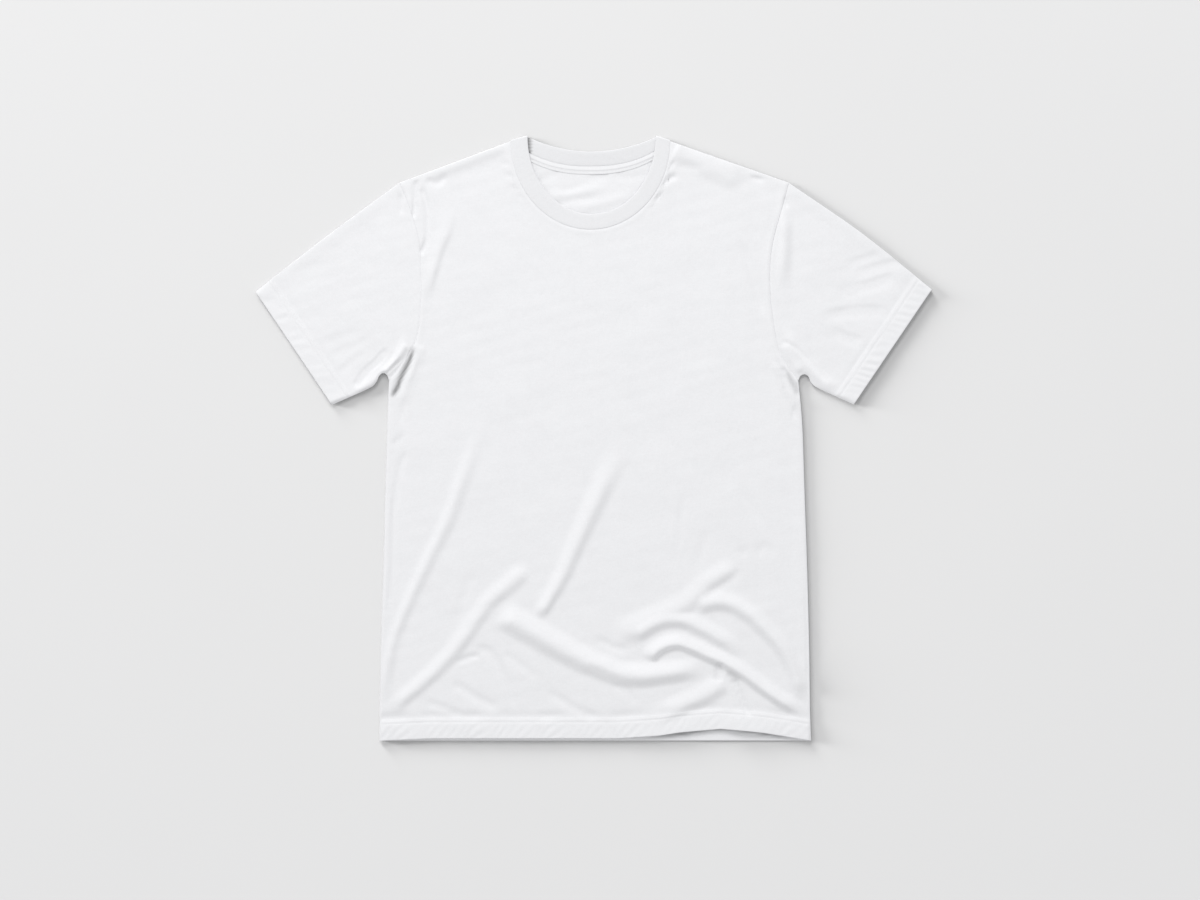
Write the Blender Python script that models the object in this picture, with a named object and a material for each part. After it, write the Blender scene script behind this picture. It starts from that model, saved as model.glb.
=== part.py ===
"""A crew neck t-shirt lying flat, as the pieces a maker cuts and sews.

Metres, +Z up. The garment lies on the plane Z = 0 with its neck towards +Y, and the
origin is under the middle of its outline. The pieces are cloth walls: a front and a back
panel, two sleeves that are flattened tubes, the doubled neckband and the back neck tape.
Pieces stand SEAM_GAP apart where the real ones are sewn together.
"""
import math
from collections import namedtuple

import bpy
import numpy as np

GARMENT = "crew_neck_t_shirt"
MM = 0.001

# ---------------------------------------------------------------- driving dimensions
CLOTH = 1.2 * MM              # wall of a panel or sleeve
HEM_CLOTH = 2.0 * MM          # wall where the cloth is turned in and lies double
HEM_DEPTH = 20.6 * MM
HEM_STEP = 2.0 * MM           # run over which the wall goes from single to double
SEAM_GAP = 0.3 * MM
BAND_CLOTH = 1.8 * MM         # the neckband is rib folded double
BAND_EDGE_PROFILE = ((0.0, 0.0), (0.3, 0.75), (1.2, 1.0))    # its round free edge: way in
                              # and half thickness, both in halves of BAND_CLOTH
BAND_TURN_RADIUS = 1.5 * MM
BAND_BACK_HEIGHT = BAND_CLOTH / 2
BAND_SHOULDER_HEIGHT = BAND_BACK_HEIGHT + 2 * BAND_TURN_RADIUS
BAND_OVER_PANEL = 0.2 * MM    # how much higher its middle lies than the front panel's
BAND_CLIMB_POWER = 3          # how late the front of the band climbs to the shoulders
TAPE_WIDTH = 10.0 * MM
TAPE_CLOTH = 1.0 * MM
TAPE_REACH = 0.88             # share of the back neckline's half width that it covers
TAPE_INSET = 3 * SEAM_GAP     # distance of the tape from the neckband
SLEEVE_BUNCHING = 1.4         # sleeve sections crowd towards the underarm by this power
SLEEVE_FADE = 1.5             # power with which they straighten away from the armhole
SLEEVE_OPENING = 0.25         # least height of a sleeve's end, as a share of its inset
SHARP_ANGLE = math.radians(50)

EDGE_MIDDLE = 2.4 * MM        # height at which front and back meet along a closed edge
EDGE_CLOTH = 1.0 * MM         # wall left at the very edge of a panel
FRONT_REST = 2.7 * MM         # middle of the upper wall where it lies flat
HEM_REST = 0.7 * MM           # extra height of the upper wall over the doubled hems
HEM_REST_REACH = 50 * MM
UPPER_ROLL = 8.0 * MM         # width over which the upper wall rounds down to its edge
LOWER_ROLL = 4.0 * MM         # the same for the wall that lies on the table
PUFF = 1.5 * MM               # how far the edges swell above the flat middle
PUFF_INSET = 10 * MM
PUFF_REACH = 14 * MM

# The body's left and right edges at heights along Y, from the hem up to the underarm.
BodyEdge = namedtuple("BodyEdge", "y left right")
SIDE_SEAMS = (
    BodyEdge(y=-369.0, left=-261.4, right=265.2),
    BodyEdge(y=-332.0, left=-260.8, right=263.9),
    BodyEdge(y=-250.0, left=-259.1, right=262.7),
    BodyEdge(y=-150.0, left=-255.9, right=260.1),
    BodyEdge(y=-75.0, left=-254.1, right=257.5),
    BodyEdge(y=10.0, left=-251.6, right=254.7),
    BodyEdge(y=50.0, left=-250.5, right=251.6),
    BodyEdge(y=70.0, left=-249.5, right=249.5),
)
# The armhole seams, from the underarm up to the tip of the shoulder.
ARMHOLES = (
    BodyEdge(y=70.0, left=-249.5, right=249.5),
    BodyEdge(y=85.0, left=-237.5, right=237.0),
    BodyEdge(y=102.0, left=-225.5, right=227.8),
    BodyEdge(y=125.0, left=-214.8, right=221.6),
    BodyEdge(y=168.0, left=-210.7, right=215.8),
    BodyEdge(y=205.0, left=-210.7, right=214.7),
    BodyEdge(y=235.0, left=-212.0, right=217.6),
    BodyEdge(y=265.0, left=-219.2, right=225.0),
    BodyEdge(y=290.0, left=-227.8, right=232.2),
    BodyEdge(y=311.4, left=-236.4, right=237.7),
)

# How far the front hem is drawn up from the back hem by the folds above it.
HemPlace = namedtuple("HemPlace", "x drawn_up")
FRONT_HEM = (
    HemPlace(x=-261.4, drawn_up=0.0),
    HemPlace(x=-200.0, drawn_up=2.9),
    HemPlace(x=30.0, drawn_up=3.0),
    HemPlace(x=80.0, drawn_up=6.5),
    HemPlace(x=105.0, drawn_up=10.5),
    HemPlace(x=154.0, drawn_up=14.6),
    HemPlace(x=191.0, drawn_up=12.2),
    HemPlace(x=227.0, drawn_up=6.6),
    HemPlace(x=265.2, drawn_up=0.0),
)
HEM_FADE = 155 * MM           # height up the front over which that draw dies away

# Each edge of the neck: its middle, its half width, and how far it dips below the
# height that its ends have. The front edges are half ellipses.
NeckEdge = namedtuple("NeckEdge", "x end_y half_width dip")
FRONT_SEAM = NeckEdge(x=-4.0, end_y=362.0, half_width=97.0, dip=107.7)
FRONT_FREE = NeckEdge(x=-2.5, end_y=366.87, half_width=78.0, dip=93.8)
BACK_SEAM = NeckEdge(x=-4.0, end_y=362.0, half_width=97.0, dip=30.5)
BACK_FREE = NeckEdge(x=-2.5, end_y=366.87, half_width=78.0, dip=17.7)
BACK_SEAM_POWER = 2.4         # a back edge dips as the distance from its middle, raised
BACK_FREE_POWER = 2.0         # to this power

# A sleeve's outline outside its armhole seam, from its own shoulder tip.
SleeveEdge = namedtuple("SleeveEdge", "cuff_top cuff_under fold_bow under")
LEFT_SLEEVE_EDGE = SleeveEdge(
    cuff_top=(-412.2, 178.4),
    cuff_under=(-319.0, 40.5),
    fold_bow=4.0,
    under=((-252.3, 76.8), (-257.0, 79.0), (-261.6, 75.5), (-265.5, 67.5), (-275.0, 60.0)),
)
RIGHT_SLEEVE_EDGE = SleeveEdge(
    cuff_top=(412.2, 181.2),
    cuff_under=(317.0, 40.9),
    fold_bow=4.0,
    under=((252.3, 75.6), (257.0, 77.5), (261.6, 75.0), (265.5, 67.0), (275.0, 60.0)),
)

# The largest folds. A route runs along the crest. Left and right are the widths of the
# fold's flanks for someone walking that route, and taper is what they shrink to at its end.
Fold = namedtuple("Fold", "height left right taper fade_in fade_out route")
FOLDS = {
    "left_long": Fold(
        height=4, left=15, right=13, taper=0.6, fade_in=110, fade_out=60,
        route=((-132, 26), (-141, 2), (-153, -29), (-165, -63), (-178, -100), (-202, -149),
               (-225, -198), (-244, -246), (-253, -295), (-257, -323))),
    "left_short": Fold(
        height=4.3, left=13, right=17, taper=0.8, fade_in=16, fade_out=30,
        route=((-77, -160), (-92, -170), (-107, -183), (-122, -195), (-134, -209), (-155, -240),
               (-177, -268), (-203, -294), (-229, -316), (-249, -337))),
    "middle_upright": Fold(
        height=5.4, left=18, right=23, taper=0.5, fade_in=90, fade_out=18,
        route=((42, 0), (30, -24), (15, -53), (-7, -100), (-29, -149), (-36, -166), (-48, -187),
               (-58, -204), (-69, -221))),
    "middle_sweep": Fold(
        height=7.6, left=24, right=21, taper=0.7, fade_in=20, fade_out=40,
        route=((-116, -212), (-96, -225), (-78, -235), (-56, -248), (-34, -260), (-13, -271),
               (8, -279), (32, -288), (59, -290), (87, -287), (115, -284), (138, -284))),
    "right_upper": Fold(
        height=3.8, left=24, right=19, taper=0.7, fade_in=30, fade_out=18,
        route=((22, -246), (38, -238), (56, -231), (77, -220), (96, -211), (113, -203), (127, -190),
               (139, -178), (154, -168), (177, -156))),
    "right_arc": Fold(
        height=6.0, left=17, right=12, taper=0.9, fade_in=20, fade_out=40,
        route=((44, -248), (60, -235), (76, -226), (92, -222), (108, -223), (124, -229),
               (143, -239), (159, -249), (181, -266))),
    "right_middle": Fold(
        height=7.2, left=15, right=7.5, taper=1, fade_in=12, fade_out=30,
        route=((67, -273), (76, -261), (87, -254), (102, -251), (118, -256), (135, -264),
               (152, -271), (168, -279), (185, -290), (202, -303), (219, -315), (236, -326),
               (255, -338))),
    "right_outer": Fold(
        height=5.8, left=18, right=14, taper=0.65, fade_in=14, fade_out=25,
        route=((122, -206), (138, -202), (155, -200), (172, -205), (191, -217), (209, -234),
               (226, -253), (238, -273), (247, -296), (252, -322))),
    "right_hem": Fold(
        height=4.8, left=19, right=14, taper=1, fade_in=35, fade_out=10,
        route=((69, -344), (96, -332), (118, -322), (137, -313), (152, -304), (162, -298))),
    "left_armpit": Fold(
        height=2.4, left=9, right=11, taper=0.8, fade_in=14, fade_out=30,
        route=((-293, 54), (-263, 74), (-240, 98), (-228, 130))),
    "right_armpit": Fold(
        height=2.6, left=12, right=12, taper=0.8, fade_in=14, fade_out=30,
        route=((296, 58), (268, 80), (246, 108), (234, 140))),
    "left_shoulder": Fold(
        height=3, left=10, right=20, taper=0.6, fade_in=70, fade_out=45,
        route=((-172, 292), (-177, 256), (-187, 231), (-197, 195), (-205, 162))),
}
FOLD_BLEND = 3.0              # power that merges folds where they meet

# ---------------------------------------------------------------- spacing of the walls
SIDE_ROWS = 52
BACK_SIDE_ROWS = 6
ARMHOLE_ROWS = 8
SHOULDER_COLUMNS = 17
NECK_COLUMNS = 24
BACK_SHOULDER_COLUMNS = 4
BACK_NECK_COLUMNS = 12
EDGE_INSETS = (1.5 * MM, 5.0 * MM, 14.0 * MM)    # extra rows where an edge rolls over
SLEEVE_ROWS = 9
TURN_STEPS = 4                # sections of the neckband round each shoulder
BODY_EDGE_STEPS = 6           # points of a smooth line for each stretch of its table
SLEEVE_FOLD_STEPS = 8
UNDERARM_STEPS = 4
ROUTE_STEPS = 5

# ---------------------------------------------------------------- plain geometry


def metres(place):
    """A place given in millimetres as an array in metres."""
    return np.array(place, dtype=float) * MM


def ease(value):
    """Smooth step from 0 to 1 as value goes from 0 to 1."""
    t = min(max(value, 0.0), 1.0)
    return t * t * (3.0 - 2.0 * t)


def smooth_line(places, steps_each):
    """Catmull-Rom curve through the places, with steps_each points a stretch."""
    points = [np.asarray(p, dtype=float) for p in places]
    ends = [2 * points[0] - points[1]] + points + [2 * points[-1] - points[-2]]
    line = []
    for a, b, c, d in zip(ends, ends[1:], ends[2:], ends[3:]):
        for step in range(steps_each):
            t = step / steps_each
            line.append(0.5 * (2 * b + (c - a) * t + (2 * a - 5 * b + 4 * c - d) * t ** 2
                               + (3 * b - a - 3 * c + d) * t ** 3))
    line.append(points[-1])
    return np.array(line)


class Line:
    """A plane curve that is read by the share of its length, and measured against."""

    def __init__(self, points):
        self.points = np.asarray(points, dtype=float)
        self.starts = self.points[:-1]
        self.runs = self.points[1:] - self.points[:-1]
        self.lengths = np.linalg.norm(self.runs, axis=1)
        self.along = np.concatenate(([0.0], np.cumsum(self.lengths)))
        self.length = self.along[-1]

    def at(self, share):
        """The place at a share of the length, 0 to 1."""
        distance = share * self.length
        return np.array([np.interp(distance, self.along, self.points[:, k]) for k in (0, 1)])

    def nearest(self, place):
        """Distance from place, distance along the line, and +1 on the line's left."""
        offset = place - self.starts
        share = np.einsum("ij,ij->i", offset, self.runs) / self.lengths ** 2
        share = np.clip(share, 0.0, 1.0)
        gaps = offset - self.runs * share[:, None]
        reach = np.linalg.norm(gaps, axis=1)
        best = int(np.argmin(reach))
        run, gap = self.runs[best], gaps[best]
        side = 1.0 if run[0] * gap[1] - run[1] * gap[0] >= 0.0 else -1.0
        return reach[best], self.along[best] + share[best] * self.lengths[best], side


# ---------------------------------------------------------------- outline of the garment


def body_edge(table, side):
    """One side of a table of body edges, as a Line from its first row up."""
    column = {"left": 1, "right": 2}[side]
    return Line(smooth_line([metres((row[column], row.y)) for row in table], BODY_EDGE_STEPS))


def neck_place(edge, share, power=None):
    """A place on a neck edge; share runs from -1 at the left end to +1 at the right."""
    angle = share * math.pi / 2
    across = math.sin(angle)
    if power is None:
        dip = math.cos(angle)
    else:
        dip = 1.0 - abs(across) ** power
    return metres((edge.x + edge.half_width * across, edge.end_y - edge.dip * dip))


def sleeve_lines(side):
    """The top fold and the underarm edge of a sleeve, each from the armhole to the cuff."""
    edge = LEFT_SLEEVE_EDGE if side == "left" else RIGHT_SLEEVE_EDGE
    tip = ARMHOLE_LINES[side].at(1.0)
    pit = ARMHOLE_LINES[side].at(0.0)
    top = metres(edge.cuff_top)
    run = top - tip
    out = np.array((-run[1], run[0])) / np.linalg.norm(run)
    if out[1] < 0:
        out = -out
    middle = (tip + top) / 2 + out * edge.fold_bow * MM
    fold = Line(smooth_line((tip, middle, top), SLEEVE_FOLD_STEPS))
    places = [pit] + [metres(p) for p in edge.under] + [metres(edge.cuff_under)]
    return fold, Line(smooth_line(places, UNDERARM_STEPS))


SIDE_LINES = {side: body_edge(SIDE_SEAMS, side) for side in ("left", "right")}
ARMHOLE_LINES = {side: body_edge(ARMHOLES, side) for side in ("left", "right")}
SLEEVE_LINES = {side: sleeve_lines(side) for side in ("left", "right")}


def closed_edges():
    """The edges where the upper and lower walls join: sides, underarms, folds, shoulders."""
    edges = []
    for side, share in (("left", -1.0), ("right", 1.0)):
        fold, under = SLEEVE_LINES[side]
        edges.append(Line(np.concatenate((SIDE_LINES[side].points, under.points[1:]))))
        neck = neck_place(FRONT_SEAM, share)
        edges.append(Line(np.concatenate((fold.points[::-1], [neck]))))
    return edges


def open_edges():
    """The hem and the two cuffs, where the walls end free."""
    hem = Line([SIDE_LINES["left"].at(0.0), SIDE_LINES["right"].at(0.0)])
    cuffs = [Line([fold.at(1.0), under.at(1.0)]) for fold, under in SLEEVE_LINES.values()]
    return [hem] + cuffs


CLOSED_EDGES = closed_edges()
OPEN_EDGES = open_edges()
FOLD_LINES = {name: Line(smooth_line([metres(p) for p in fold.route], ROUTE_STEPS))
              for name, fold in FOLDS.items()}


def inset(place, lines):
    """Distance from a place to the nearest of some lines."""
    return min(line.nearest(place)[0] for line in lines)


# ---------------------------------------------------------------- heights of the walls


def fold_height(place):
    """Height that the folds add at a place. Where folds meet they merge, not add up."""
    total = 0.0
    for name, fold in FOLDS.items():
        line = FOLD_LINES[name]
        distance, along, side = line.nearest(place)
        reach = (fold.left if side > 0 else fold.right) * MM
        reach *= 1.0 + (fold.taper - 1.0) * along / line.length
        if distance < reach:
            share = math.cos(math.pi / 2 * distance / reach) ** 2
            share *= ease(along / (fold.fade_in * MM))
            share *= ease((line.length - along) / (fold.fade_out * MM))
            total += (fold.height * MM * share) ** FOLD_BLEND
    return total ** (1.0 / FOLD_BLEND)


def roll(distance, width):
    """Quarter round from 0 at an edge to 1 at width in from it."""
    t = min(max(distance / width, 0.0), 1.0)
    return math.sqrt(1.0 - (1.0 - t) ** 2)


def upper_middle(place, edge_distance):
    """Middle height of the upper wall, before it rolls over at a closed edge."""
    puff = PUFF * math.exp(-((edge_distance - PUFF_INSET) / PUFF_REACH) ** 2)
    hem = HEM_REST * ease(1.0 - inset(place, OPEN_EDGES) / HEM_REST_REACH)
    return FRONT_REST + puff + hem + fold_height(place)


def front_faces(place, wall):
    """Top and bottom height of the front panel."""
    edge_distance = inset(place, CLOSED_EDGES)
    middle = upper_middle(place, edge_distance)
    share = roll(edge_distance, UPPER_ROLL)
    low_edge = EDGE_MIDDLE + SEAM_GAP / 2
    top = low_edge + EDGE_CLOTH + (middle + wall / 2 - low_edge - EDGE_CLOTH) * share
    bottom = low_edge + (middle - wall / 2 - low_edge) * share
    return top, bottom


def back_faces(place, wall):
    """Top and bottom height of the back panel, which lies on the table."""
    share = roll(inset(place, CLOSED_EDGES), LOWER_ROLL)
    high_edge = EDGE_MIDDLE - SEAM_GAP / 2
    top = high_edge + (wall - high_edge) * share
    bottom = (high_edge - EDGE_CLOTH) * (1.0 - share)
    return top, bottom


def sleeve_faces(place, skin, from_end):
    """Upper and lower height of a sleeve's surface that lies skin inside the outer one.

    from_end is the distance along the section from the end of that surface, which keeps
    its upper and lower sides apart where an edge runs aslant.
    """
    edge_distance = inset(place, CLOSED_EDGES)
    outer_wall = CLOTH if skin == 0.0 else skin
    middle = upper_middle(place, edge_distance)
    top = middle + outer_wall / 2 - skin
    rolled = max(edge_distance - skin, SLEEVE_OPENING * from_end)
    upper = EDGE_MIDDLE + (top - EDGE_MIDDLE) * roll(rolled, UPPER_ROLL)
    lower = EDGE_MIDDLE + (skin - EDGE_MIDDLE) * roll(rolled, LOWER_ROLL)
    return upper, lower


# ---------------------------------------------------------------- spacing


def clustered(length, even_steps):
    """Shares from 0 to 1 along a length, with extra steps at both edges."""
    near = [inset_size / length for inset_size in EDGE_INSETS]
    start, stop = near[-1], 1.0 - near[-1]
    middle = [start + (stop - start) * k / even_steps for k in range(1, even_steps)]
    return [0.0] + near + middle + [1.0 - share for share in reversed(near)] + [1.0]


def hem_walls(distances):
    """Wall thickness at distances from a turned hem's edge."""
    return [CLOTH + (HEM_CLOTH - CLOTH) * ease((HEM_DEPTH + HEM_STEP - d) / HEM_STEP)
            for d in distances]


ARMHOLE_SHARES = clustered(ARMHOLE_LINES["left"].length, ARMHOLE_ROWS)

# ---------------------------------------------------------------- meshes


def grid_faces(rows, columns, first, flip, wrap=False, crests=None):
    """Faces of a grid of points numbered from first, row by row.

    crests may say, for a cell's row and column, which of its diagonals is an edge: 1 for
    the one from its first corner, -1 for the other. A cell that it leaves out is a quad.
    """
    faces = []
    for i in range(rows - 1):
        for j in range(columns if wrap else columns - 1):
            k = (j + 1) % columns
            a, b = first + i * columns + j, first + i * columns + k
            c, d = first + (i + 1) * columns + k, first + (i + 1) * columns + j
            crest = crests.get((i, j)) if crests else None
            if crest is None:
                cell = [[a, b, c, d]]
            elif crest > 0:
                cell = [[a, b, c], [a, c, d]]
            else:
                cell = [[a, b, d], [b, c, d]]
            faces += [face[::-1] if flip else face for face in cell]
    return faces


def fold_crests(places):
    """The diagonal of each cell of a grid of places that follows the folds better."""
    heights = [[fold_height(place) for place in row] for row in places]
    crests = {}
    for i in range(len(places) - 1):
        for j in range(len(places[0]) - 1):
            a, b = heights[i][j], heights[i][j + 1]
            c, d = heights[i + 1][j + 1], heights[i + 1][j]
            if max(a, b, c, d) > 0.0:
                corners = (places[i][j], places[i][j + 1], places[i + 1][j + 1], places[i + 1][j])
                middle = 2 * fold_height(sum(corners) / 4)
                crests[i, j] = 1 if abs(a + c - middle) < abs(b + d - middle) else -1
    return crests


def wall_between(top, bottom, crests=None):
    """Vertices and faces of a slab between two grids of points of the same size."""
    rows, columns = len(top), len(top[0])
    size = rows * columns
    vertices = [point for row in top for point in row]
    vertices += [point for row in bottom for point in row]
    faces = grid_faces(rows, columns, 0, flip=False, crests=crests)
    faces += grid_faces(rows, columns, size, flip=True, crests=crests)
    rim = [j for j in range(columns)]
    rim += [i * columns + columns - 1 for i in range(1, rows)]
    rim += [(rows - 1) * columns + j for j in range(columns - 2, -1, -1)]
    rim += [i * columns for i in range(rows - 2, 0, -1)]
    for a, b in zip(rim, rim[1:] + rim[:1]):
        faces.append([b, a, a + size, b + size])
    return vertices, faces


def tube_between(outer, inner):
    """Vertices and faces of an open tube: rings of outer points and rings of inner ones."""
    rows, columns = len(outer), len(outer[0])
    size = rows * columns
    vertices = [point for ring in outer for point in ring]
    vertices += [point for ring in inner for point in ring]
    faces = grid_faces(rows, columns, 0, flip=False, wrap=True)
    faces += grid_faces(rows, columns, size, flip=True, wrap=True)
    for j in range(columns):
        k = (j + 1) % columns
        faces.append([k, j, j + size, k + size])
        last = (rows - 1) * columns
        faces.append([last + j, last + k, last + k + size, last + j + size])
    return vertices, faces


def ring_of_sections(sections):
    """Vertices and faces of a closed ring of closed sections."""
    rows, columns = len(sections), len(sections[0])
    vertices = [point for section in sections for point in section]
    faces = []
    for i in range(rows):
        for j in range(columns):
            k, n = (j + 1) % columns, (i + 1) % rows
            faces.append([i * columns + j, i * columns + k, n * columns + k, n * columns + j])
    return vertices, faces


def cloth_material(name, colour, roughness):
    """A plain cloth finish for one piece."""
    material = bpy.data.materials.new(name)
    material.use_nodes = True
    surface = material.node_tree.nodes["Principled BSDF"]
    surface.inputs["Base Color"].default_value = (*colour, 1.0)
    surface.inputs["Roughness"].default_value = roughness
    surface.inputs["Metallic"].default_value = 0.0
    return material


def add_piece(collection, name, geometry, colour=(0.86, 0.86, 0.865), roughness=0.9):
    """Make one named piece of cloth from its vertices and faces."""
    vertices, faces = geometry
    mesh = bpy.data.meshes.new(name)
    mesh.from_pydata([tuple(v) for v in vertices], [], faces)
    mesh.validate()
    if signed_volume(mesh) < 0.0:
        mesh.flip_normals()
    mesh.shade_smooth()
    mesh.set_sharp_from_angle(angle=SHARP_ANGLE)
    mesh.materials.append(cloth_material(name + "_cloth", colour, roughness))
    piece = bpy.data.objects.new(name, mesh)
    collection.objects.link(piece)
    return piece


def signed_volume(mesh):
    """Volume of a closed mesh, negative when its faces point in."""
    mesh.calc_loop_triangles()
    total = 0.0
    for triangle in mesh.loop_triangles:
        a, b, c = (mesh.vertices[k].co for k in triangle.vertices)
        total += a.dot(b.cross(c)) / 6.0
    return total


# ---------------------------------------------------------------- body panels


def panel_rows(side_rows):
    """Rows of a panel: left place, right place, share of the armhole, way up the sides."""
    hem_steps = [0.0, HEM_DEPTH / 2, HEM_DEPTH, HEM_DEPTH + HEM_STEP]
    side_length = SIDE_LINES["left"].length
    even = [hem_steps[-1] + (side_length - hem_steps[-1]) * k / side_rows
            for k in range(1, side_rows + 1)]
    rows = []
    for distance in hem_steps + even:
        share = distance / side_length
        rows.append((SIDE_LINES["left"].at(share), SIDE_LINES["right"].at(share), 0.0, distance))
    for share in ARMHOLE_SHARES[1:]:
        left, right = (ARMHOLE_LINES[side].at(share) for side in ("left", "right"))
        seam = np.array((SEAM_GAP / 2, 0.0))
        rows.append((left + seam, right - seam, share, side_length))
    return rows


def top_edge(neck_edge, power, shoulder_columns, neck_columns):
    """Places along a panel's shoulders and neckline, each with its share across."""
    tips = [ARMHOLE_LINES[side].at(1.0) for side in ("left", "right")]
    tips[0] = tips[0] + (SEAM_GAP / 2, 0.0)
    tips[1] = tips[1] - (SEAM_GAP / 2, 0.0)
    width = tips[1][0] - tips[0][0]
    ends = [neck_place(neck_edge, share, power) for share in (-1.0, 1.0)]
    neck_shares = [(end[0] - tips[0][0]) / width for end in ends]
    edge_shares = [inset_size / width for inset_size in EDGE_INSETS]
    columns = [(0.0, tips[0])]
    start = edge_shares[-1]
    left_shares = edge_shares + [start + (neck_shares[0] - start) * k / shoulder_columns
                                 for k in range(1, shoulder_columns)]
    for share in left_shares:
        columns.append((share, tips[0] + (ends[0] - tips[0]) * share / neck_shares[0]))
    for k in range(neck_columns + 1):
        along = -1.0 + 2.0 * k / neck_columns
        share = neck_shares[0] + (neck_shares[1] - neck_shares[0]) * k / neck_columns
        columns.append((share, neck_place(neck_edge, along, power)))
    for share in reversed(left_shares):
        mirrored = 1.0 - share * (1.0 - neck_shares[1]) / neck_shares[0]
        part = (1.0 - mirrored) / (1.0 - neck_shares[1])
        columns.append((mirrored, tips[1] + (ends[1] - tips[1]) * part))
    columns.append((1.0, tips[1]))
    return columns


def panel_places(rows, columns, drawn_up):
    """Places of a panel's points, so that it fills its side, hem and top edges."""
    tip_left, tip_right = columns[0][1], columns[-1][1]
    neck_share = (FRONT_SEAM.x - FRONT_SEAM.half_width) * MM - tip_left[0]
    neck_share /= tip_right[0] - tip_left[0]
    places = []
    for left, right, armhole_share, side_distance in rows:
        hem_fade = ease(1.0 - side_distance / HEM_FADE)
        row = []
        for share, top_place in columns:
            straight = left + (right - left) * share
            tip_place = tip_left + (tip_right - tip_left) * share
            place = straight + (top_place - tip_place) * armhole_share
            hold = min(1.0, share / neck_share, (1.0 - share) / neck_share)
            drift = (straight[0] - tip_place[0]) * hold * armhole_share ** 2
            row.append(place + (-drift, drawn_up(place[0]) * hem_fade))
        places.append(row)
    return places


def panel_geometry(rows, places, faces_at, crests=None):
    """A panel's wall over its places, double where the hem is turned in."""
    top, bottom = [], []
    for row, wall in zip(places, hem_walls([row[3] for row in rows])):
        heights = [faces_at(place, wall) for place in row]
        top.append([(*place, high) for place, (high, _) in zip(row, heights)])
        bottom.append([(*place, low) for place, (_, low) in zip(row, heights)])
    return wall_between(top, bottom, crests)


def front_hem_drawn_up(x):
    """How far the front hem is drawn up at a place across the body."""
    return np.interp(x, [p.x * MM for p in FRONT_HEM], [p.drawn_up * MM for p in FRONT_HEM])


def neckline(edge, gap):
    """A panel's own neckline, which stands gap outside the neckband's seam edge."""
    return edge._replace(half_width=edge.half_width + gap / MM, dip=edge.dip + gap / MM)


def make_front_panel(collection):
    """Front panel, with the deep neckline and the folds."""
    columns = top_edge(neckline(FRONT_SEAM, SEAM_GAP), None, SHOULDER_COLUMNS, NECK_COLUMNS)
    rows = panel_rows(SIDE_ROWS)
    places = panel_places(rows, columns, front_hem_drawn_up)
    geometry = panel_geometry(rows, places, front_faces, fold_crests(places))
    return add_piece(collection, "front_panel", geometry)


def make_back_panel(collection):
    """Back panel, flat on the table, with the shallow neckline."""
    edge = neckline(BACK_SEAM, SEAM_GAP)
    columns = top_edge(edge, BACK_SEAM_POWER, BACK_SHOULDER_COLUMNS, BACK_NECK_COLUMNS)
    rows = panel_rows(BACK_SIDE_ROWS)
    places = panel_places(rows, columns, lambda x: 0.0)
    geometry = panel_geometry(rows, places, back_faces)
    return add_piece(collection, "back_panel", geometry, colour=(0.80, 0.80, 0.81))


# ---------------------------------------------------------------- sleeves


def sleeve_stations(side):
    """Rows of a sleeve: place on its fold, place under it, armhole fade, wall, from 0 to 1."""
    fold, under = SLEEVE_LINES[side]
    from_cuff = (0.0, HEM_DEPTH / 2, HEM_DEPTH, HEM_DEPTH + HEM_STEP)
    walls = hem_walls(from_cuff)
    stations = []
    turned = HEM_DEPTH + HEM_STEP
    for k in range(SLEEVE_ROWS):
        share = k / SLEEVE_ROWS
        bunched = share ** SLEEVE_BUNCHING
        places = [line.at(part * (1.0 - turned / line.length))
                  for line, part in ((fold, share), (under, bunched))]
        stations.append((*places, (1.0 - share) ** SLEEVE_FADE, CLOTH))
    for distance, wall in reversed(list(zip(from_cuff, walls))):
        places = [line.at(1.0 - distance / line.length) for line in (fold, under)]
        stations.append((*places, 0.0, wall))
    return stations


def sleeve_place(side, station, share):
    """Place in a sleeve at a share of the way from its underarm to its fold."""
    fold_place, under_place, fade, _ = station
    seam = SEAM_GAP / 2 * (-1.0 if side == "left" else 1.0)
    armhole = ARMHOLE_LINES[side]
    bulge = armhole.at(share) - armhole.at(0.0) - (armhole.at(1.0) - armhole.at(0.0)) * share
    return under_place + (fold_place - under_place) * share + bulge * fade + (seam, 0.0)


def skin_margin(side, station, skin, end):
    """Share of a section's width after which its points lie skin inside its edge."""
    if skin == 0.0:
        return 0.0
    probe = skin / np.linalg.norm(station[0] - station[1])
    reach = inset(sleeve_place(side, station, abs(end - probe)), CLOSED_EDGES)
    least = 0.3 * skin        # bounds the margin where the edge runs nearly along the section
    return probe * skin / max(reach, least)


def make_sleeve(collection, side):
    """A sleeve: a flattened tube with its cuff hem turned in."""
    outer, inner = [], []
    for station in sleeve_stations(side):
        width = np.linalg.norm(station[0] - station[1])
        for rings, skin in ((outer, 0.0), (inner, station[3])):
            start = skin_margin(side, station, skin, 0.0)
            stop = 1.0 - skin_margin(side, station, skin, 1.0)
            places = [sleeve_place(side, station, start + share * (stop - start))
                      for share in ARMHOLE_SHARES]
            heights = [sleeve_faces(place, skin, min(share, 1.0 - share) * width)
                       for place, share in zip(places, ARMHOLE_SHARES)]
            over = [(*place, high) for place, (high, _) in zip(places, heights)]
            below = [(*place, low) for place, (_, low) in zip(places, heights)]
            rings.append(over + below[-2:0:-1])
    return add_piece(collection, side + "_sleeve", tube_between(outer, inner),
                     colour=(0.83, 0.83, 0.84))


# ---------------------------------------------------------------- neckband and tape


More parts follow.
